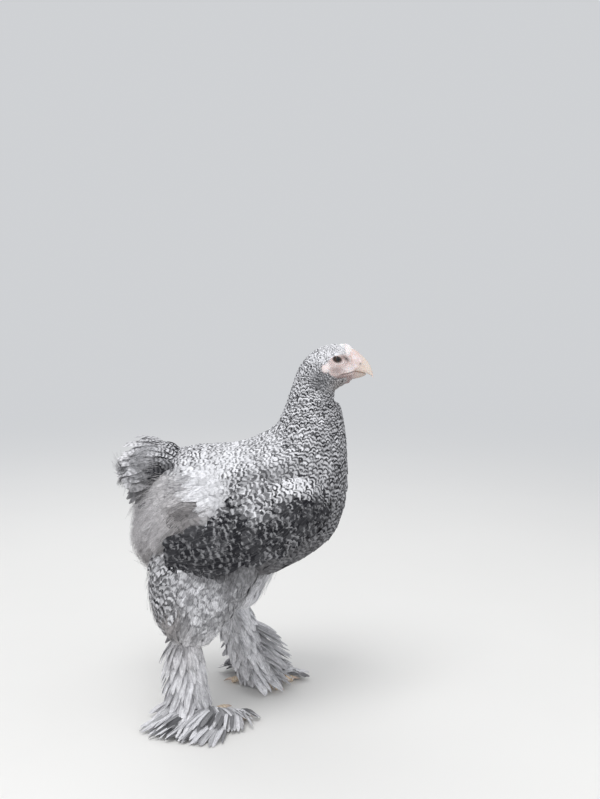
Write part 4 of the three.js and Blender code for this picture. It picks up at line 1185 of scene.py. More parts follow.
def horn_material(name, base, tip, rough):
    """Bill and claws: horn that changes towards its tip, with skin over its root by the second Vane value and
    painted shade by the third.
    """
    shader_values = {
        "Subsurface_Weight": 0.12,
        "Subsurface_Radius": (0.002, 0.001, 0.0006),
        "Subsurface_Scale": 1.0,
        "Specular_IOR_Level": 0.4,
    }
    material, g, shader = new_material(name, **shader_values)
    share, skin_share, dark = g.vane()
    streak = g.noise(260.0, 4.0)
    fine = g.noise(900.0, 3.0)
    colour = g.colour(g.ramp(g.plus(share, g.times(streak, 0.3)), 0.2, 1.1), base, tip)
    colour = g.colour(g.times(g.ramp(streak, 0.45, 0.7), 0.25), colour, HORN_STREAK)
    colour = g.colour(skin_share, colour, flesh_colour(g, fine))
    # Painted shade by the third Vane value: the lower bill, in the upper bill's shadow, and the nostril's
    # hollow.
    colour = g.colour(dark, colour, HORN_SHADE)
    g.feed(colour, shader["Base Color"])
    g.feed(g.bump(g.plus(streak, g.times(fine, 0.5)), 0.0003, 0.35), shader["Normal"])
    roughness = g.ramp(streak, 0.3, 0.7, rough, rough + 0.16)
    g.feed(g.plus(roughness, g.times(skin_share, 0.2)), shader["Roughness"])
    return material


def scale_material():
    """Toes: scutes across the top with dark seams."""
    material, g, shader = new_material("leg_scale")
    across, along, _ = g.vane()
    blotch = g.noise(190.0, 3.0)
    scute = g.math("FRACT", g.plus(along, g.times(g.math("ABSOLUTE", across), 0.35)))
    seam = g.minus(1.0, g.ramp(g.math("ABSOLUTE", g.minus(scute, 0.5)), 0.36, 0.5))
    colour = g.colour(g.ramp(blotch, 0.35, 0.65), (0.72, 0.56, 0.4, 1), (0.82, 0.7, 0.55, 1))
    colour = g.colour(seam, (0.4, 0.27, 0.2, 1), colour)
    g.feed(colour, shader["Base Color"])
    g.feed(g.bump(g.plus(seam, g.times(blotch, 0.3)), 0.0006, 0.7), shader["Normal"])
    g.feed(g.ramp(blotch, 0.3, 0.7, 0.4, 0.6), shader["Roughness"])
    return material


def eye_material():
    """The eyeball: a black pupil, a brown iris with spokes and a dark rim."""
    shader_values = {"Specular_IOR_Level": 0.3, "Coat_Weight": 0.35, "Coat_Roughness": 0.02}
    material, g, shader = new_material("eyeball", **shader_values)
    reach, spoke, _ = g.vane()
    blur = g.noise(1600.0, 3.0)
    fibre = g.times(g.wave(g.times(spoke, 46.0)), blur)
    iris = g.colour(fibre, (0.03, 0.013, 0.008, 1), (0.095, 0.038, 0.018, 1))
    iris = g.colour(g.ramp(reach, 0.48, 0.68), iris, (0.02, 0.012, 0.01, 1))
    colour = g.colour(g.ramp(reach, 0.33, 0.375), (0.003, 0.003, 0.004, 1), iris)
    g.feed(colour, shader["Base Color"])
    g.feed(g.bump(blur, 0.00002, 0.1), shader["Normal"])
    g.feed(g.ramp(blur, 0.3, 0.7, 0.08, 0.14), shader["Roughness"])
    return material


def floor_material():
    """A plain pale floor that turns into the plain background far from the bird."""
    material, g, shader = new_material("studio_floor", Roughness=0.85)
    colour = g.colour(g.noise(3.0, 3.0), (0.80, 0.79, 0.77, 1), (0.84, 0.83, 0.81, 1))
    g.feed(colour, shader["Base Color"])
    g.feed(g.bump(g.noise(400.0, 2.0), 0.0004, 0.1), shader["Normal"])
    away = g.put("ShaderNodeVectorMath", {0: g.place()}, operation="LENGTH").outputs["Value"]
    glow = g.put("ShaderNodeEmission", {"Color": BACKGROUND, "Strength": BACKGROUND_GLOW}).outputs[0]
    nodes = g.tree.nodes
    lit = nodes["Principled BSDF"].outputs[0]
    blend = g.put("ShaderNodeMixShader", {0: g.ramp(away, 0.5, 2.2), 1: lit, 2: glow})
    g.feed(blend.outputs[0], nodes["Material Output"].inputs["Surface"])
    return material


plumage = feather_material(
    "plumage", barb=0.35, rough=0.7, sheen=0.02, streak=0.2, blur=0.26, blotch=0.0
)
down = feather_material("down", barb=0.1, rough=0.85, sheen=0.1, streak=0.6, blur=0.4, blotch=0.65)
skin_look = skin_material()
bill_horn = horn_material("bill_horn", (0.68, 0.55, 0.5, 1), (0.75, 0.65, 0.58, 1), 0.34)
claw_horn = horn_material("claw_horn", (0.74, 0.6, 0.5, 1), (0.42, 0.33, 0.27, 1), 0.3)
scales = scale_material()
eyeball = eye_material()

# Skin, in one piece


def skin_values(points, islands):
    """The skin's named values. Vane: bareness, duskier skin with painted shade, and painted shade. Look: the
    coat's look and the pale share.
    """
    x, z = points[:, 0], points[:, 2]
    bare = bare_at(points)
    bare[len(islands[0]["points"]) :] = 0
    lids = np.zeros(len(points), bool)
    start = 0
    for island in islands:
        stop = start + len(island["points"])
        lowest = points[start:stop, 2].min()
        if start > 0 and lowest > 380:
            bare[start:stop] = 1
            lids[start:stop] = lowest > 425
        start = stop
    near = eye_reach(x, z)
    # Duskier skin on the cheek and above the front of the eye; painted shade on the lower jaw, round the
    # socket and in the folds under the eye.
    jaw = rise(-z, -423.5 - 0.15 * (x - 120), -419) * (1 - 0.5 * rise(x, 127, 131))
    dusky_skin_and_shade = np.maximum(0.85 * bell(np.hypot((x - 109) / 11, (z - 427.5) / 6)), jaw)
    dusky_skin_and_shade *= 1 - bell(ear_reach(x, z, 5, 6))
    dusky_skin_and_shade = np.maximum(dusky_skin_and_shade, 0.5 * bell((near - 1.2) / 0.35))
    for ring in UNDER_EYE:
        dusky_skin_and_shade = np.maximum(dusky_skin_and_shade, 0.5 * bell((near - ring) / 0.16) * rise(EYE["z"] - z, 0, 3))
    dusky_skin_and_shade = np.maximum(dusky_skin_and_shade, 0.6 * bell(np.hypot((x - 117) / 5, (z - 443) / 2)))
    # Painted shade, mixed towards SHADOW: a shadow on the lores, a ring round the eye's opening, the mouth's
    # line and the lids.
    lores_shadow = np.hypot((x - 121.5) / 4.2, (z - 440 + 0.5 * (x - 121.5)) / 2.6)
    painted_shade = np.maximum(0.85 * bell(lores_shadow), 0.5 * bell((near - 1.05) / 0.22))
    mouth_x, mouth_z = mouth_at(x)
    painted_shade = np.maximum(painted_shade, 0.7 * bell(np.hypot(x - mouth_x, z - mouth_z) / 0.55))
    painted_shade[lids] = 0.8
    pale = 0.6 * bell(ear_reach(x, z, 5.5, 6.5))
    pale = np.maximum(pale, 0.8 * rise(x, 112, 120) * bell((z - 428) / 2.4))
    pale = np.maximum(pale, 0.9 * rise(z, 443, 447))
    look = look_of(coat_at(points))
    look[:, 2] = mix(look[:, 2], pale, bare)
    return {"Vane": np.stack([bare, np.clip(dusky_skin_and_shade, 0, 1), painted_shade], -1), "Look": look}


islands = skin_islands()
whole = join(islands)
values = skin_values(whole["points"], islands)
skin = make_mesh("skin", whole["points"], whole["faces"], whole["bake"], values)
FLESH = ["head", "neck", "torso", "rump", "tail", "wing_right", "wing_left"]
FLESH += [part + "_" + name for name in LEGS for part in ("thigh", "shank")]
dress(skin, skin_look, "skin", *FLESH)

# Head: bill, eyes


def bill_half(name, table, upper, node):
    """One half of the bill. The upper one has the nostril and the soft skin round its root."""
    rings, sides = 90, 96
    row = spline(table, np.linspace(0, len(table) - 1, rings))
    x, top, bottom, half = (row[:, k, None] for k in range(4))
    angle = (np.arange(sides) / sides * FULL_TURN)[None]
    up = np.cos(angle)
    pinch = 1 - (0.3 if upper else 0.05) * rise(up, 0, 1)
    high = (top - bottom) / 2
    middle = (top + bottom) / 2
    y = np.sign(np.sin(angle)) * np.abs(np.sin(angle)) ** 0.8 * half * pinch
    meeting = (up < 0) == upper
    z = middle + high * np.sign(up) * np.abs(up) ** np.where(meeting, 0.45, 0.9)
    points = vec(x, y, z)
    share = np.broadcast_to((x - x.min()) / (x.max() - x.min()), z.shape)
    # Painted shade over the whole lower bill, as in the upper bill's shadow; the upper bill's is set below.
    dark = np.full_like(z, 0.42)
    skin_share = 1 - rise(points[..., 0], 128, 137)
    if upper:
        cere = np.hypot((points[..., 0] - 125) / 16.5, (points[..., 2] - 438) / 12.5)
        skin_share = 1 - rise(cere, 0.82, 1.04)
        along, above = points[..., 0] - NOSTRIL["x"], points[..., 2] - NOSTRIL["z"]
        hole = np.hypot(along / 2.3, (above - 0.25 * along) / 0.75)
        cover = np.hypot((along + 0.5) / 4.2, (above - 1.9) / 1.7)
        swell = 0.4 * (1 - rise(cere, 0.88, 1.04)) + 0.7 * bell(cover) - 1.5 * bell(hole)
        points[..., 1] += np.sign(points[..., 1]) * swell * rise(np.abs(points[..., 1]), 0.5, 3)
        # Painted shade in the nostril's hollow.
        dark = 0.85 * bell(hole * 1.1)
    ends = [[x[0, 0] - 1, 0, middle[0, 0]], [x[-1, 0], 0, middle[-1, 0]]]
    u = np.concatenate([share.ravel(), [0, 1]])
    v = np.concatenate([np.broadcast_to(angle / FULL_TURN, z.shape).ravel(), [0, 0]])
    covered = np.concatenate([skin_share.ravel(), [1, 0]])
    dark = np.concatenate([dark.ravel(), [0, 0]])
    tube = {
        "points": np.concatenate([points.reshape(-1, 3), ends]),
        "faces": tube_faces(rings, sides),
        "bake": np.stack([u, v], -1),
        "Vane": np.stack([u, covered, dark], -1),
    }
    joined_piece(name, [tube], bill_horn, "horn", node)


def eye(name, side):
    """An eyeball with a slight bulge over the pupil."""
    rings, sides = 40, 48
    polar = np.linspace(0.02, math.pi - 0.02, rings)[:, None]
    angle = (np.arange(sides) / sides * FULL_TURN)[None]
    radius = EYE["radius"] * 0.97 * (1 + 0.03 * bell(polar / 0.75))
    gaze = unit(np.array([0.14, side * 1.0, 0.03]))
    right = unit(np.cross(gaze, [0, 0, 1.0]))
    above = np.cross(right, gaze)
    ring = np.cos(angle)[..., None] * right + np.sin(angle)[..., None] * above
    points = radius[..., None] * (np.cos(polar)[..., None] * gaze + np.sin(polar)[..., None] * ring)
    centre = np.array([EYE["x"], side * EYE["y"], EYE["z"]])
    poles = np.stack([centre + gaze * radius[0], centre - gaze * radius[-1]])
    reach = np.concatenate([np.broadcast_to(polar, (rings, sides)).ravel() / 1.25, [0, 2]])
    spoke = np.concatenate([np.broadcast_to(angle, (rings, sides)).ravel(), [0, 0]])
    spoke = np.where(spoke > math.pi, FULL_TURN - spoke, spoke)
    around = np.stack([np.cos(spoke), np.sin(spoke)], -1)
    tube = {
        "points": np.concatenate([(points + centre).reshape(-1, 3), poles]),
        "faces": tube_faces(rings, sides)[:, ::-1],
        "bake": 0.5 + 0.45 * reach[:, None] / 2.6 * around,
        "Vane": np.stack([reach, spoke, reach], -1),
    }
    joined_piece("eyeball_" + name, [tube], eyeball, "eyeball", "eye_" + name)


bill_half("bill_top", BILL_UPPER, True, "bill_upper")
bill_half("bill_low", BILL_LOWER, False, "bill_lower")
for name, leg in LEGS.items():
    eye(name, leg["side"])

# Coat of the body


def lie(here, first, second):
    """Body feathers lie towards the tail, and droop at the rump and the breast."""
    x, z = here[..., 0], here[..., 2]
    rump = 1.3 * rise(-x, 40, 110) * rise(-z, -320, -250)
    breast = 0.25 * rise(-x, -90, 0) * rise(-z, -330, -300)
    return -unit(first) + np.array([0, 0, -1.0]) * np.expand_dims(rump + breast, -1)


def inside_wing(x, z, size=1.0):
    """True where a place of the side view lies inside the wing's edge, made smaller or larger by size."""
    edge = np.array(WING_EDGE, float)
    middle = edge.mean(0)
    edge = middle + (edge - middle) * size
    inside = np.zeros(np.shape(x), bool)
    for (ax, az), (bx, bz) in zip(edge, np.roll(edge, -1, axis=0)):
        crosses = (az > z) != (bz > z)
        inside ^= crosses & (x < (bx - ax) * (z - az) / (bz - az + 1e-9) + ax)
    return inside


def under_wing(here):
    """True where a wing covers the body."""
    return inside_wing(here[..., 0], here[..., 2], 0.84) & (np.abs(here[..., 1]) > 40)


def plumed(here):
    """True where feathers grow: not on the bare face, round the eye or under the wings."""
    return (bare_at(here) < 0.75) & ~under_wing(here) & (eye_reach(here[..., 0], here[..., 2]) > 1.6)


rng = np.random.default_rng(1)
roots = scatter(body, (0.3, 0), (BODY_END - 0.6, FULL_TURN), gap_of(COAT), 2, plumed)
on_head = roots[:, 0] > NAPE - 0.6
on_neck = ~on_head & (roots[:, 0] > 9.5)
soft = ~on_head & ~on_neck & (coat_at(body.point(roots))[:, BARS] < 0.3)
rest = ~on_head & ~on_neck & ~soft
coat_piece("coat_head", [laid(body, roots[on_head], lie, HEAD_STYLE, rng)], plumage, "plumage")
coat_piece("coat_neck", [laid(body, roots[on_neck], lie, NECK_STYLE, rng)], plumage, "plumage")
coat_piece("coat_body", [laid(body, roots[rest], lie, BODY_STYLE, rng)], plumage, "plumage")
coat_piece("coat_soft", [laid(body, roots[soft], lie, SOFT_STYLE, rng)], down, "plumage")

# Wings


def core_place(x, z):
    """The place on the wing's core under a place of the side view, and how far the core stands out there."""
    row = row_of(WING_CORE, x)
    middle, high, thick = np.moveaxis(spline(WING_CORE, row)[..., 1:], -1, 0)
    q = (z - middle) / np.maximum(high, 6)
    stand = thick * np.maximum(1 - q**2, 0) ** 0.75
    return np.stack([row, np.arccos(np.clip(q, -1, 1))], -1), stand


def wing_height(x, z):
    """How high the coat of the wing lies off the shell: over the core, and clear of the thigh below."""
    stand = core_place(x, z)[1]
    return 2.5 + stand + 7.5 * rise(-z, -262, -210) * (1 - stand / 12)


class WingTop(Surface):
    """The top of the folded wing. A place is x, z of the side view."""

    def __init__(self, side, core):
        self.core = core
        self.side = side
        super().__init__(self.top, (0.5, 0.5), -side, (-104, 100), None)

    def top(self, place, height=0.0):
        x, z = place[..., 0], place[..., 1]
        return on_shell(self.side, x, z, wing_height(x, z) + height)

    def bake_place(self, place):
        return self.core.bake_place(core_place(place[..., 0], place[..., 1])[0])


def long_feathers(name, rng):
    """The long feathers of a folded wing, fanned from its front to its tip."""
    number, low, high, droop, (first, last), width, (root, middle, tip) = LONG_FEATHERS
    side = LEGS[name]["side"]
    across = np.linspace(0, 1, number)[:, None]
    share = VANE_SHARE[None]
    angle = np.radians(mix(droop[0], droop[1], across) + rng.normal(0, 0.8, across.shape))
    length = mix(first, last, across) + rng.normal(0, 1.5, across.shape)
    x = mix(low[0], high[0], across) - np.cos(angle) * length * share
    z = mix(low[1], high[1], across) - np.sin(angle) * length * share
    height = mix(root, tip, share) + (middle - (root + tip) / 2) * 4 * share * (1 - share)
    height = height + rng.normal(0, 0.25, across.shape)
    points = on_shell(side, x, z, height)
    beside = on_shell(side, x, z + 1, height) - points
    ahead = on_shell(side, x + 1, z, height) - points
    normals = unit(side * np.cross(beside, ahead))
    values = coat_at(points[:, 5], WING_COAT)
    bake = wings[name].bake_place(core_place(x[:, 0], z[:, 0])[0])
    look = look_of(values, rng)
    widths = np.full(number, float(width))
    form = {"thick": 0.6, "cup": 0.14, "twist": 0.05, "turn": -side * WING_ROLL}
    return vanes(points, normals, widths, QUILL, bake, look, values[:, BAR_STEP], rng, **form)


def wing_way(here, first, second):
    """Wing feathers lie rearward and down, steeper near the shoulder."""
    droop = np.radians(15 + 22 * rise(here[..., 0], -40, 50))
    return vec(-np.cos(droop), 0, -np.sin(droop))


def ends_inside(here):
    """True where a feather that starts here ends inside the wing's edge."""
    length = coat_at(here, WING_COAT)[..., LENGTH]
    tip = here + wing_way(here, None, None) * 0.9 * length[..., None]
    return inside_wing(here[..., 0], here[..., 2]) & inside_wing(tip[..., 0], tip[..., 2], 1.04)


def rearward(here, first, second):
    """Feathers lie along the surface's first direction, which runs towards its free end."""
    return unit(first)


for name in LEGS:
    rng = np.random.default_rng(5)
    top = WingTop(LEGS[name]["side"], wings[name])
    roots = scatter(top, (-95, 190), (98, 326), gap_of(WING_COAT), 6, ends_inside)
    parts = [long_feathers(name, rng), laid(top, roots, wing_way, COVERT_STYLE, rng, WING_COAT)]
    roots = scatter(wings[name], (0.1, -0.6), (2.6, math.pi + 0.6), gap_of(WING_COAT, 0.8), 16)
    parts.append(laid(wings[name], roots, rearward, WING_FRONT_STYLE, rng, WING_COAT))
    coat_piece("wing_feathers_" + name, parts, plumage, "plumage")

# Tail


def bezier(start, bend, end, share):
    """Points at shares of curves that start towards a bend and come to an end."""
    s = share[None, :, None]
    start, bend, end = (p[:, None] for p in (start, bend, end))
    return start * (1 - s) ** 2 + bend * 2 * s * (1 - s) + end * s**2


def plumes(start, bend, end, side, width, shape, bake, values, rng, **style):
    """Feathers along curves. side is the way their width runs."""
    points = bezier(start, bend, end, VANE_SHARE)
    normals = np.cross(np.gradient(points, axis=1), side[:, None])
    normals = unit(normals * np.sign(normals[..., 2:] + 1e-9))
    look = look_of(values, rng)
    return vanes(points, normals, width, shape, bake, look, values[:, BAR_STEP], rng, **style)


def tail_tier(tier, rng):
    """One layer of tail feathers, spread to both sides and curled up."""
    number, spread, length, lift, curl, drop, width, height = tier
    share = np.linspace(-1, 1, number)
    yaw = np.radians(share * spread + rng.normal(0, 2.5, number))
    fall = np.abs(share) ** 1.5
    reach = length * (1 - 0.1 * fall) + rng.normal(0, 2.5, number)
    out = vec(-np.cos(yaw), np.sin(yaw), 0)
    side = unit(vec(np.sin(yaw), np.cos(yaw), -share * 0.6))
    start = vec(TAIL_ROOT[0], np.sin(yaw) * 14, TAIL_ROOT[1] + height - 8 * fall)
    bend = start + out * reach[:, None] * 0.55
    bend[:, 2] += lift * (1 - 0.45 * fall) * 0.9
    end = start + out * reach[:, None]
    end[:, 2] += (lift - curl) * (1 - 0.75 * fall) - 9 * fall - drop + rng.normal(0, 1.5, number)
    values = coat_at(mix(bend, end, 0.5), TAIL_COAT)
    bake = tail.bake_place(np.stack([np.full(number, 1.0), share * 1.6], -1))
    widths = rng.uniform(0.9, 1.1, number) * width
    return plumes(start, bend, end, side, widths, QUILL, bake, values, rng, twist=0.18, ragged=0.1)


rng = np.random.default_rng(3)
parts = [tail_tier(tier, rng) for tier in TAIL_TIERS]
roots = scatter(tail, (0.6, 0), (4.4, FULL_TURN), gap_of(TAIL_COAT), 4)
parts.append(laid(tail, roots, rearward, TAIL_STYLE, rng, TAIL_COAT))
coat_piece("tail_feathers", parts, plumage, "plumage")

# Legs


def hanging(here, first, second):
    """Feathers of the thighs hang down and a little back."""
    return np.array([-0.3, 0, -0.95])


def boot(leg, name, rng):
    """Rows of feathers down the shank, which spread and hang over the foot."""
    hock, ankle = joint(leg, "hock"), joint(leg, "ankle")
    rows, number = 9, leg["boot_columns"]
    down, share = np.meshgrid(np.linspace(0.06, 0.92, rows), np.linspace(0, 1, number), indexing="ij")
    down, share = down.ravel() + rng.normal(0, 0.02, down.size), share.ravel()
    yaw = np.radians(mix(leg["boot"][0], leg["boot"][1], share) + rng.normal(0, 6, down.size))
    out = vec(np.cos(yaw), leg["side"] * np.sin(yaw), 0)
    start = hock + (ankle - hock) * down[:, None] + out * 5
    length = leg["boot_length"] * mix(0.6, 1.0, down) * rng.uniform(0.85, 1.08, down.size)
    fall = np.minimum(leg["boot_drop"] * length, start[:, 2] - 5)
    end = start + out * np.sqrt(np.maximum(length**2 - fall**2, 100))[:, None]
    end[:, 2] -= fall
    bend = mix(start, end, 0.45) + out * 8
    bend[:, 2] += 6
    values = coat_at(mix(bend, end, 0.5), LEG_COAT)
    bake = shanks[name].bake_place(np.stack([down, np.pi / 2 + share], -1))
    width = leg["boot_width"] * rng.uniform(0.75, 1.2, down.size)
    side = vec(-out[:, 1], out[:, 0], 0)
    return plumes(start, bend, end, side, width, SOFT, bake, values, rng, twist=0.3, ragged=0.14)


def forward_plumes(leg, name, rng):
    """A few long loose feathers that stand out in front of the shank."""
    hock, ankle = joint(leg, "hock"), joint(leg, "ankle")
    number = leg["forward"]
    down = rng.uniform(0.25, 0.85, number)
    yaw = np.radians(rng.uniform(-34, 30, number))
    out = vec(np.cos(yaw), leg["side"] * np.sin(yaw), 0)
    start = hock + (ankle - hock) * down[:, None] + out * 6
    length = rng.uniform(52, 68, number)
    fall = np.minimum(0.42 * length, start[:, 2] - 6)
    end = start + out * np.sqrt(length**2 - fall**2)[:, None]
    end[:, 2] -= fall
    bend = mix(start, end, 0.5) + np.array([0, 0, 8.0])
    values = coat_at(mix(bend, end, 0.5), LEG_COAT)
    values[:, LIGHT_AND_SHADE] *= 0.8
    bake = shanks[name].bake_place(np.stack([down, np.full(number, 0.2)], -1))
    side = vec(-out[:, 1], out[:, 0], 0)
    width = rng.uniform(8, 13, number)
    return plumes(start, bend, end, side, width, SOFT, bake, values, rng, twist=0.5, ragged=0.16)


def toe_line(leg, toe):
    """The ankle, the way a toe points, its knuckle and its end."""
    turn, length, _, _ = TOES[toe]
    ankle = joint(leg, "ankle")
    yaw = math.radians(leg["side"] * (turn + leg["yaw"]))
    way = np.array([math.cos(yaw), math.sin(yaw), 0])
    knuckle = np.array([*ankle[:2], TOE_SOLE + 3.5]) + way * 9
    end = np.array([*ankle[:2], TOE_SOLE]) + way * length
    return ankle, way, knuckle, end


def foot_fan(leg, name, rng):
    """Long feathers of the outer and middle toes, spread low over the floor."""
    ankle, _, _, outer = toe_line(leg, "outer")
    middle = toe_line(leg, "middle")[3]
    long = leg["fan_length"]
    first, last = leg["fan"]
    # Number, toe, shares of the way to its end, yaws, lengths, heights of the roots and the tips, width.
    groups = [
        (60, outer, (-0.05, 0.9), (first, last), (long, long * 0.72), (14, 5), (7, 3), 6),
        (50, middle, (0.05, 0.9), (first - 6, last - 30), (long * 0.9, long * 0.5), (19, 9), (14, 6), 5.6),
        (24, middle, (0.2, 0.95), (70, 8), (34, 26), (17, 9.5), (12, 6), 6),
    ]
    parts = []
    for number, toe, shares, yaws, lengths, heights, tip_heights, width in groups:
        share = np.linspace(0, 1, number)
        yaw = np.radians(mix(*yaws, share) + rng.normal(0, 5, number))
        out = vec(np.cos(yaw), leg["side"] * np.sin(yaw), 0)
        start = ankle + (toe - ankle) * mix(*shares, share)[:, None]
        start[:, 2] = mix(*heights, share)
        length = mix(*lengths, share) * rng.uniform(0.8, 1.04, number)
        end = start + out * length[:, None]
        end[:, 2] = mix(*tip_heights, share) * rng.uniform(0.3, 1.3, number)
        bend = mix(start, end, 0.45)
        bend[:, 2] = start[:, 2] + mix(12, 6, share) + rng.normal(0, 1.5, number)
        values = coat_at(mix(bend, end, 0.5), FOOT_COAT)
        values[:, LIGHT_AND_SHADE] *= 1.12 - 0.92 * rng.random(number) ** 1.3
        side = unit(vec(-out[:, 1], out[:, 0], leg["side"] * 0.17))
        bake = shanks[name].bake_place(np.stack([np.full(number, 1.0), np.pi / 2 + share], -1))
        widths = rng.uniform(0.7, 1.2, number) * width
        parts.append(plumes(start, bend, end, side, widths, QUILL, bake, values, rng, twist=0.2, ragged=0.12))
    return join(parts)


for name, leg in LEGS.items():
    thigh, shank = thighs[name], shanks[name]
    rng = np.random.default_rng(7)
    roots = scatter(thigh, (0.02, 0), (0.98, FULL_TURN), gap_of(LEG_COAT), 8)
    parts = [laid(thigh, roots, hanging, THIGH_STYLE, rng, LEG_COAT)]
    roots = scatter(thigh, (0.74, 0), (0.99, FULL_TURN), gap_of(LEG_COAT), 12)
    parts.append(laid(thigh, roots, hanging, KNEE_STYLE, rng, LEG_COAT))
    coat_piece("thigh_feathers_" + name, parts, down, "plumage")
    rear_rng = np.random.default_rng(14)
    roots = scatter(thigh, (0.16, 0.6 * math.pi), (0.86, 1.3 * math.pi), gap_of(LEG_COAT, 1.15), 14)
    parts = [laid(thigh, roots, hanging, REAR_STYLE, rear_rng, REAR_COAT)]
    coat_piece("thigh_bars_" + name, parts, plumage, "plumage")
    roots = scatter(shank, (0.0, 0), (1.0, FULL_TURN), gap_of(LEG_COAT, 0.75), 9)
    style = SHANK_STYLE | {"lift": (-2, leg["puff"])}
    parts = [laid(shank, roots, rearward, style, rng, LEG_COAT), boot(leg, name, rng)]
    parts.append(foot_fan(leg, name, rng))
    if leg["forward"]:
        parts.append(forward_plumes(leg, name, rng))
    coat_piece("boot_feathers_" + name, parts, down, "fluff")


def toe_tube(leg, toe):
    """A scaly toe: swollen at its joints, flat where it stands."""
    ankle, way, knuckle, end = toe_line(leg, toe)
    _, _, thick, thin = TOES[toe]
    rings, sides = 40, 20
    under = [[*ankle[:2], 13.0], [*ankle[:2], 11.0]]
    path = np.array([*under, knuckle, mix(knuckle, end, 0.5), end - way * 1.5, end])
    share = np.linspace(0.6, 5, rings)
    centre = spline(path, share)
    radius = mix(thick, thin, share / 5) * (1 + 0.07 * np.cos(share * FULL_TURN * 0.8))
    radius *= np.sqrt(np.clip((5.08 - share) / 0.5, 0.05, 1))
    across = np.array([-way[1], way[0], 0])
    angle = np.arange(sides) / sides * FULL_TURN
    scutes = 1 + 0.035 * np.abs(np.sin(share * 9))[:, None] * rise(np.sin(angle), -0.2, 0.6)
    ring = np.cos(angle)[None, :, None] * across + np.sin(angle)[None, :, None] * np.array([0, 0, 1.0])
    points = centre[:, None] + ring * (radius[:, None] * scutes)[..., None]
    points[..., 2] = np.maximum(points[..., 2], FLOOR_GAP)
    bake = np.stack(np.broadcast_arrays(0.02 + share[:, None] / 6, angle / FULL_TURN), -1).reshape(-1, 2)
    vane = vec(np.sin(angle)[None], (share * 3)[:, None], 0).reshape(-1, 3)
    return {
        "points": np.concatenate([points.reshape(-1, 3), centre[[0, -1]]]),
        "faces": tube_faces(rings, sides)[:, ::-1],
        "bake": np.concatenate([bake, bake[:2]]) * [0.25, 0.24] + [0.25 * list(TOES).index(toe), 0.0],
        "Vane": np.concatenate([vane, vane[:2]]),
    }


def claw_tube(leg, toe):
    """A curved claw at the end of a toe."""
    _, way, _, end = toe_line(leg, toe)
    rings, sides = 22, 16
    share = np.linspace(0, 1, rings)
    centre = end - way * CLAW["sunk"] + way * (CLAW["length"] * share)[:, None]
    centre[:, 2] += 0.8 + 0.9 * np.sin(math.pi * share) - CLAW["hook"] * share**2
    radius = CLAW["radius"] * (1 - 0.93 * share**1.5)
    across = np.array([-way[1], way[0], 0])
    angle = np.arange(sides) / sides * FULL_TURN
    ring = 0.82 * np.cos(angle)[None, :, None] * across + np.sin(angle)[None, :, None] * np.array([0, 0, 1.0])
    points = centre[:, None] + ring * radius[:, None, None]
    points[..., 2] = np.maximum(points[..., 2], FLOOR_GAP)
    bake = np.stack(np.broadcast_arrays(share[:, None], angle / FULL_TURN), -1).reshape(-1, 2)
    vane = vec(share[:, None], 0, 0 * angle[None]).reshape(-1, 3)
    return {
        "points": np.concatenate([points.reshape(-1, 3), centre[[0, -1]]]),
        "faces": tube_faces(rings, sides)[:, ::-1],
        "bake": np.concatenate([bake, bake[:2]]) * [0.24, 0.9] + [0.25 * list(TOES).index(toe), 0.05],
        "Vane": np.concatenate([vane, [[0, 0, 0], [1, 0, 0]]]),
    }


for name, leg in LEGS.items():
    nodes = ["foot_" + name, "toe_inner_" + name, "toe_hind_" + name]
    joined_piece("toes_" + name, [toe_tube(leg, toe) for toe in TOES], scales, "scale", *nodes)
    nodes = ["claw_" + toe + "_" + name for toe in TOES]
    joined_piece("claws_" + name, [claw_tube(leg, toe) for toe in TOES], claw_horn, "horn", *nodes)

# Bristles of the face and loose down, in fine strands


def bristled(here):
    """True on the bare face, apart from the eye and the ear."""
    x, z = here[:, 0], here[:, 2]
    return (bare_at(here) > 0.3) & (eye_reach(x, z) / 1.5 > 1) & (ear_reach(x, z, 5, 6) > 1)


def soft_body(here):
    """True where down grows under the soft feathers of the belly and the flank."""
    patch = np.hypot((here[:, 0] + 45) / 34, (here[:, 2] - 296) / 20)
    return (coat_at(here)[:, BARS] < 0.3) & (here[:, 0] < 0) & ~under_wing(here) & (patch > 1)


def rump_down(here):
    """True where the rump's loose wisps grow, up to a wavy edge behind the saddle."""
    edge = -66 + 9 * np.sin(here[:, 2] * 0.23) + 7 * np.sin(here[:, 2] * 0.61 + here[:, 1] * 0.2)
    return (here[:, 0] < edge) & (here[:, 2] < 305) & ~under_wing(here)


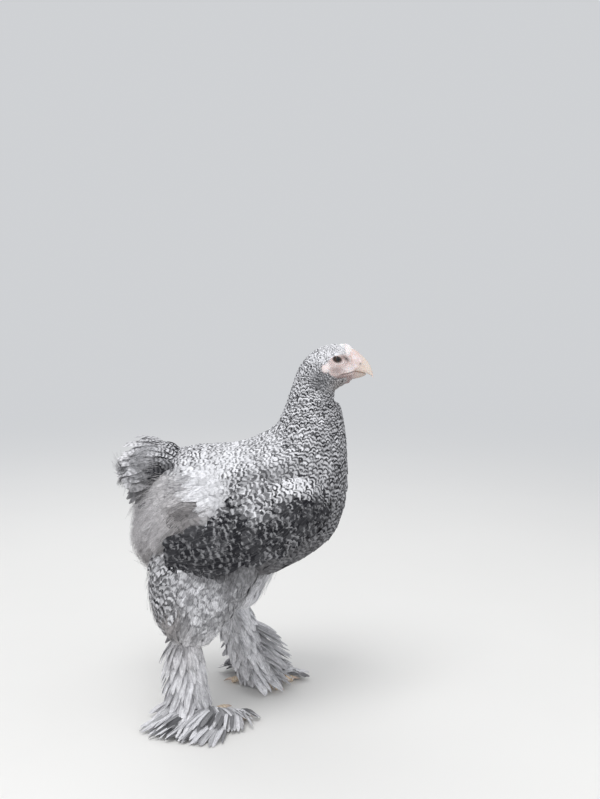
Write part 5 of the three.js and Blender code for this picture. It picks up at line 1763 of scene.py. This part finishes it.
FACE = [(18.5, 0.4), (BODY_END - 0.5, FULL_TURN - 0.4)]
parts = [strands(body, *FACE, 1.25, 19, lie, FACE_COAT, bristled, **BRISTLE_STYLE)]
coat_piece("face_bristles", parts, down, "plumage")
parts = [strands(body, (0.3, 0), (6, FULL_TURN), 1.8, 20, lie, COAT, soft_body)]
coat_piece("down_body", parts, down, "fluff")
loose = {"lift": (-1, 9), "sway": 0.34, "longer": 1.05}
parts = [strands(body, (0.3, 0), (5, FULL_TURN), 3.8, 24, lie, COAT, rump_down, **loose)]
coat_piece("down_rump", parts, down, "fluff")
loose = {"lift": (0, 9), "longer": 1.15}
parts = [strands(tail, (2.0, 0), (4.5, FULL_TURN), 1.7, 21, rearward, TAIL_COAT, **loose)]
coat_piece("down_tail", parts, down, "fluff")
for name in LEGS:
    parts = [strands(thighs[name], (0.1, 0), (0.98, FULL_TURN), 4.6, 22, hanging, LEG_COAT)]
    coat_piece("down_thigh_" + name, parts, down, "fluff")
    parts = [strands(shanks[name], (0, 0), (1, FULL_TURN), 3.2, 23, rearward, LEG_COAT)]
    coat_piece("down_shank_" + name, parts, down, "fluff")

# Stage: floor, light and camera, which looks along +Y and a little down


def studio():
    """A wide floor, a plain background and four lamps."""
    plane = bpy.data.meshes.new("studio_floor")
    corners = [(-FLOOR_REACH, -FLOOR_REACH, 0), (FLOOR_REACH, -FLOOR_REACH, 0)]
    corners += [(FLOOR_REACH, FLOOR_REACH, 0), (-FLOOR_REACH, FLOOR_REACH, 0)]
    plane.from_pydata(corners, [], [(0, 1, 2, 3)])
    ground = bpy.data.objects.new("studio_floor", plane)
    ground.location.z = FLOOR_LEVEL
    bpy.context.scene.collection.objects.link(ground)
    ground.data.materials.append(floor_material())
    world = bpy.data.worlds.new("studio")
    bpy.context.scene.world = world
    world.use_nodes = True
    glow = world.node_tree.nodes["Background"].inputs
    glow["Color"].default_value = BACKGROUND
    glow["Strength"].default_value = BACKGROUND_GLOW
    bpy.context.scene.view_settings.view_transform = "Standard"
    for name, (place, size, power) in LAMPS.items():
        lamp(name, place, size, power)


def lamp(name, place, size, power):
    light = bpy.data.lights.new(name, "AREA")
    light.size = size
    light.energy = power
    made = bpy.data.objects.new(name, light)
    made.location = place
    made.rotation_euler = (Vector(LAMP_AIM) - Vector(place)).to_track_quat("-Z", "Y").to_euler()
    bpy.context.scene.collection.objects.link(made)


def camera():
    view = bpy.data.cameras.new("camera")
    view.sensor_width = CAMERA["sensor"]
    view.lens = CAMERA["lens"]
    made = bpy.data.objects.new("camera", view)
    x, y, z = CAMERA["place"]
    made.location = (x + shift[0], y + shift[1], z)
    made.rotation_euler = (math.radians(CAMERA["tilt"]), 0, 0)
    bpy.context.scene.collection.objects.link(made)
    bpy.context.scene.camera = made


studio()
camera()
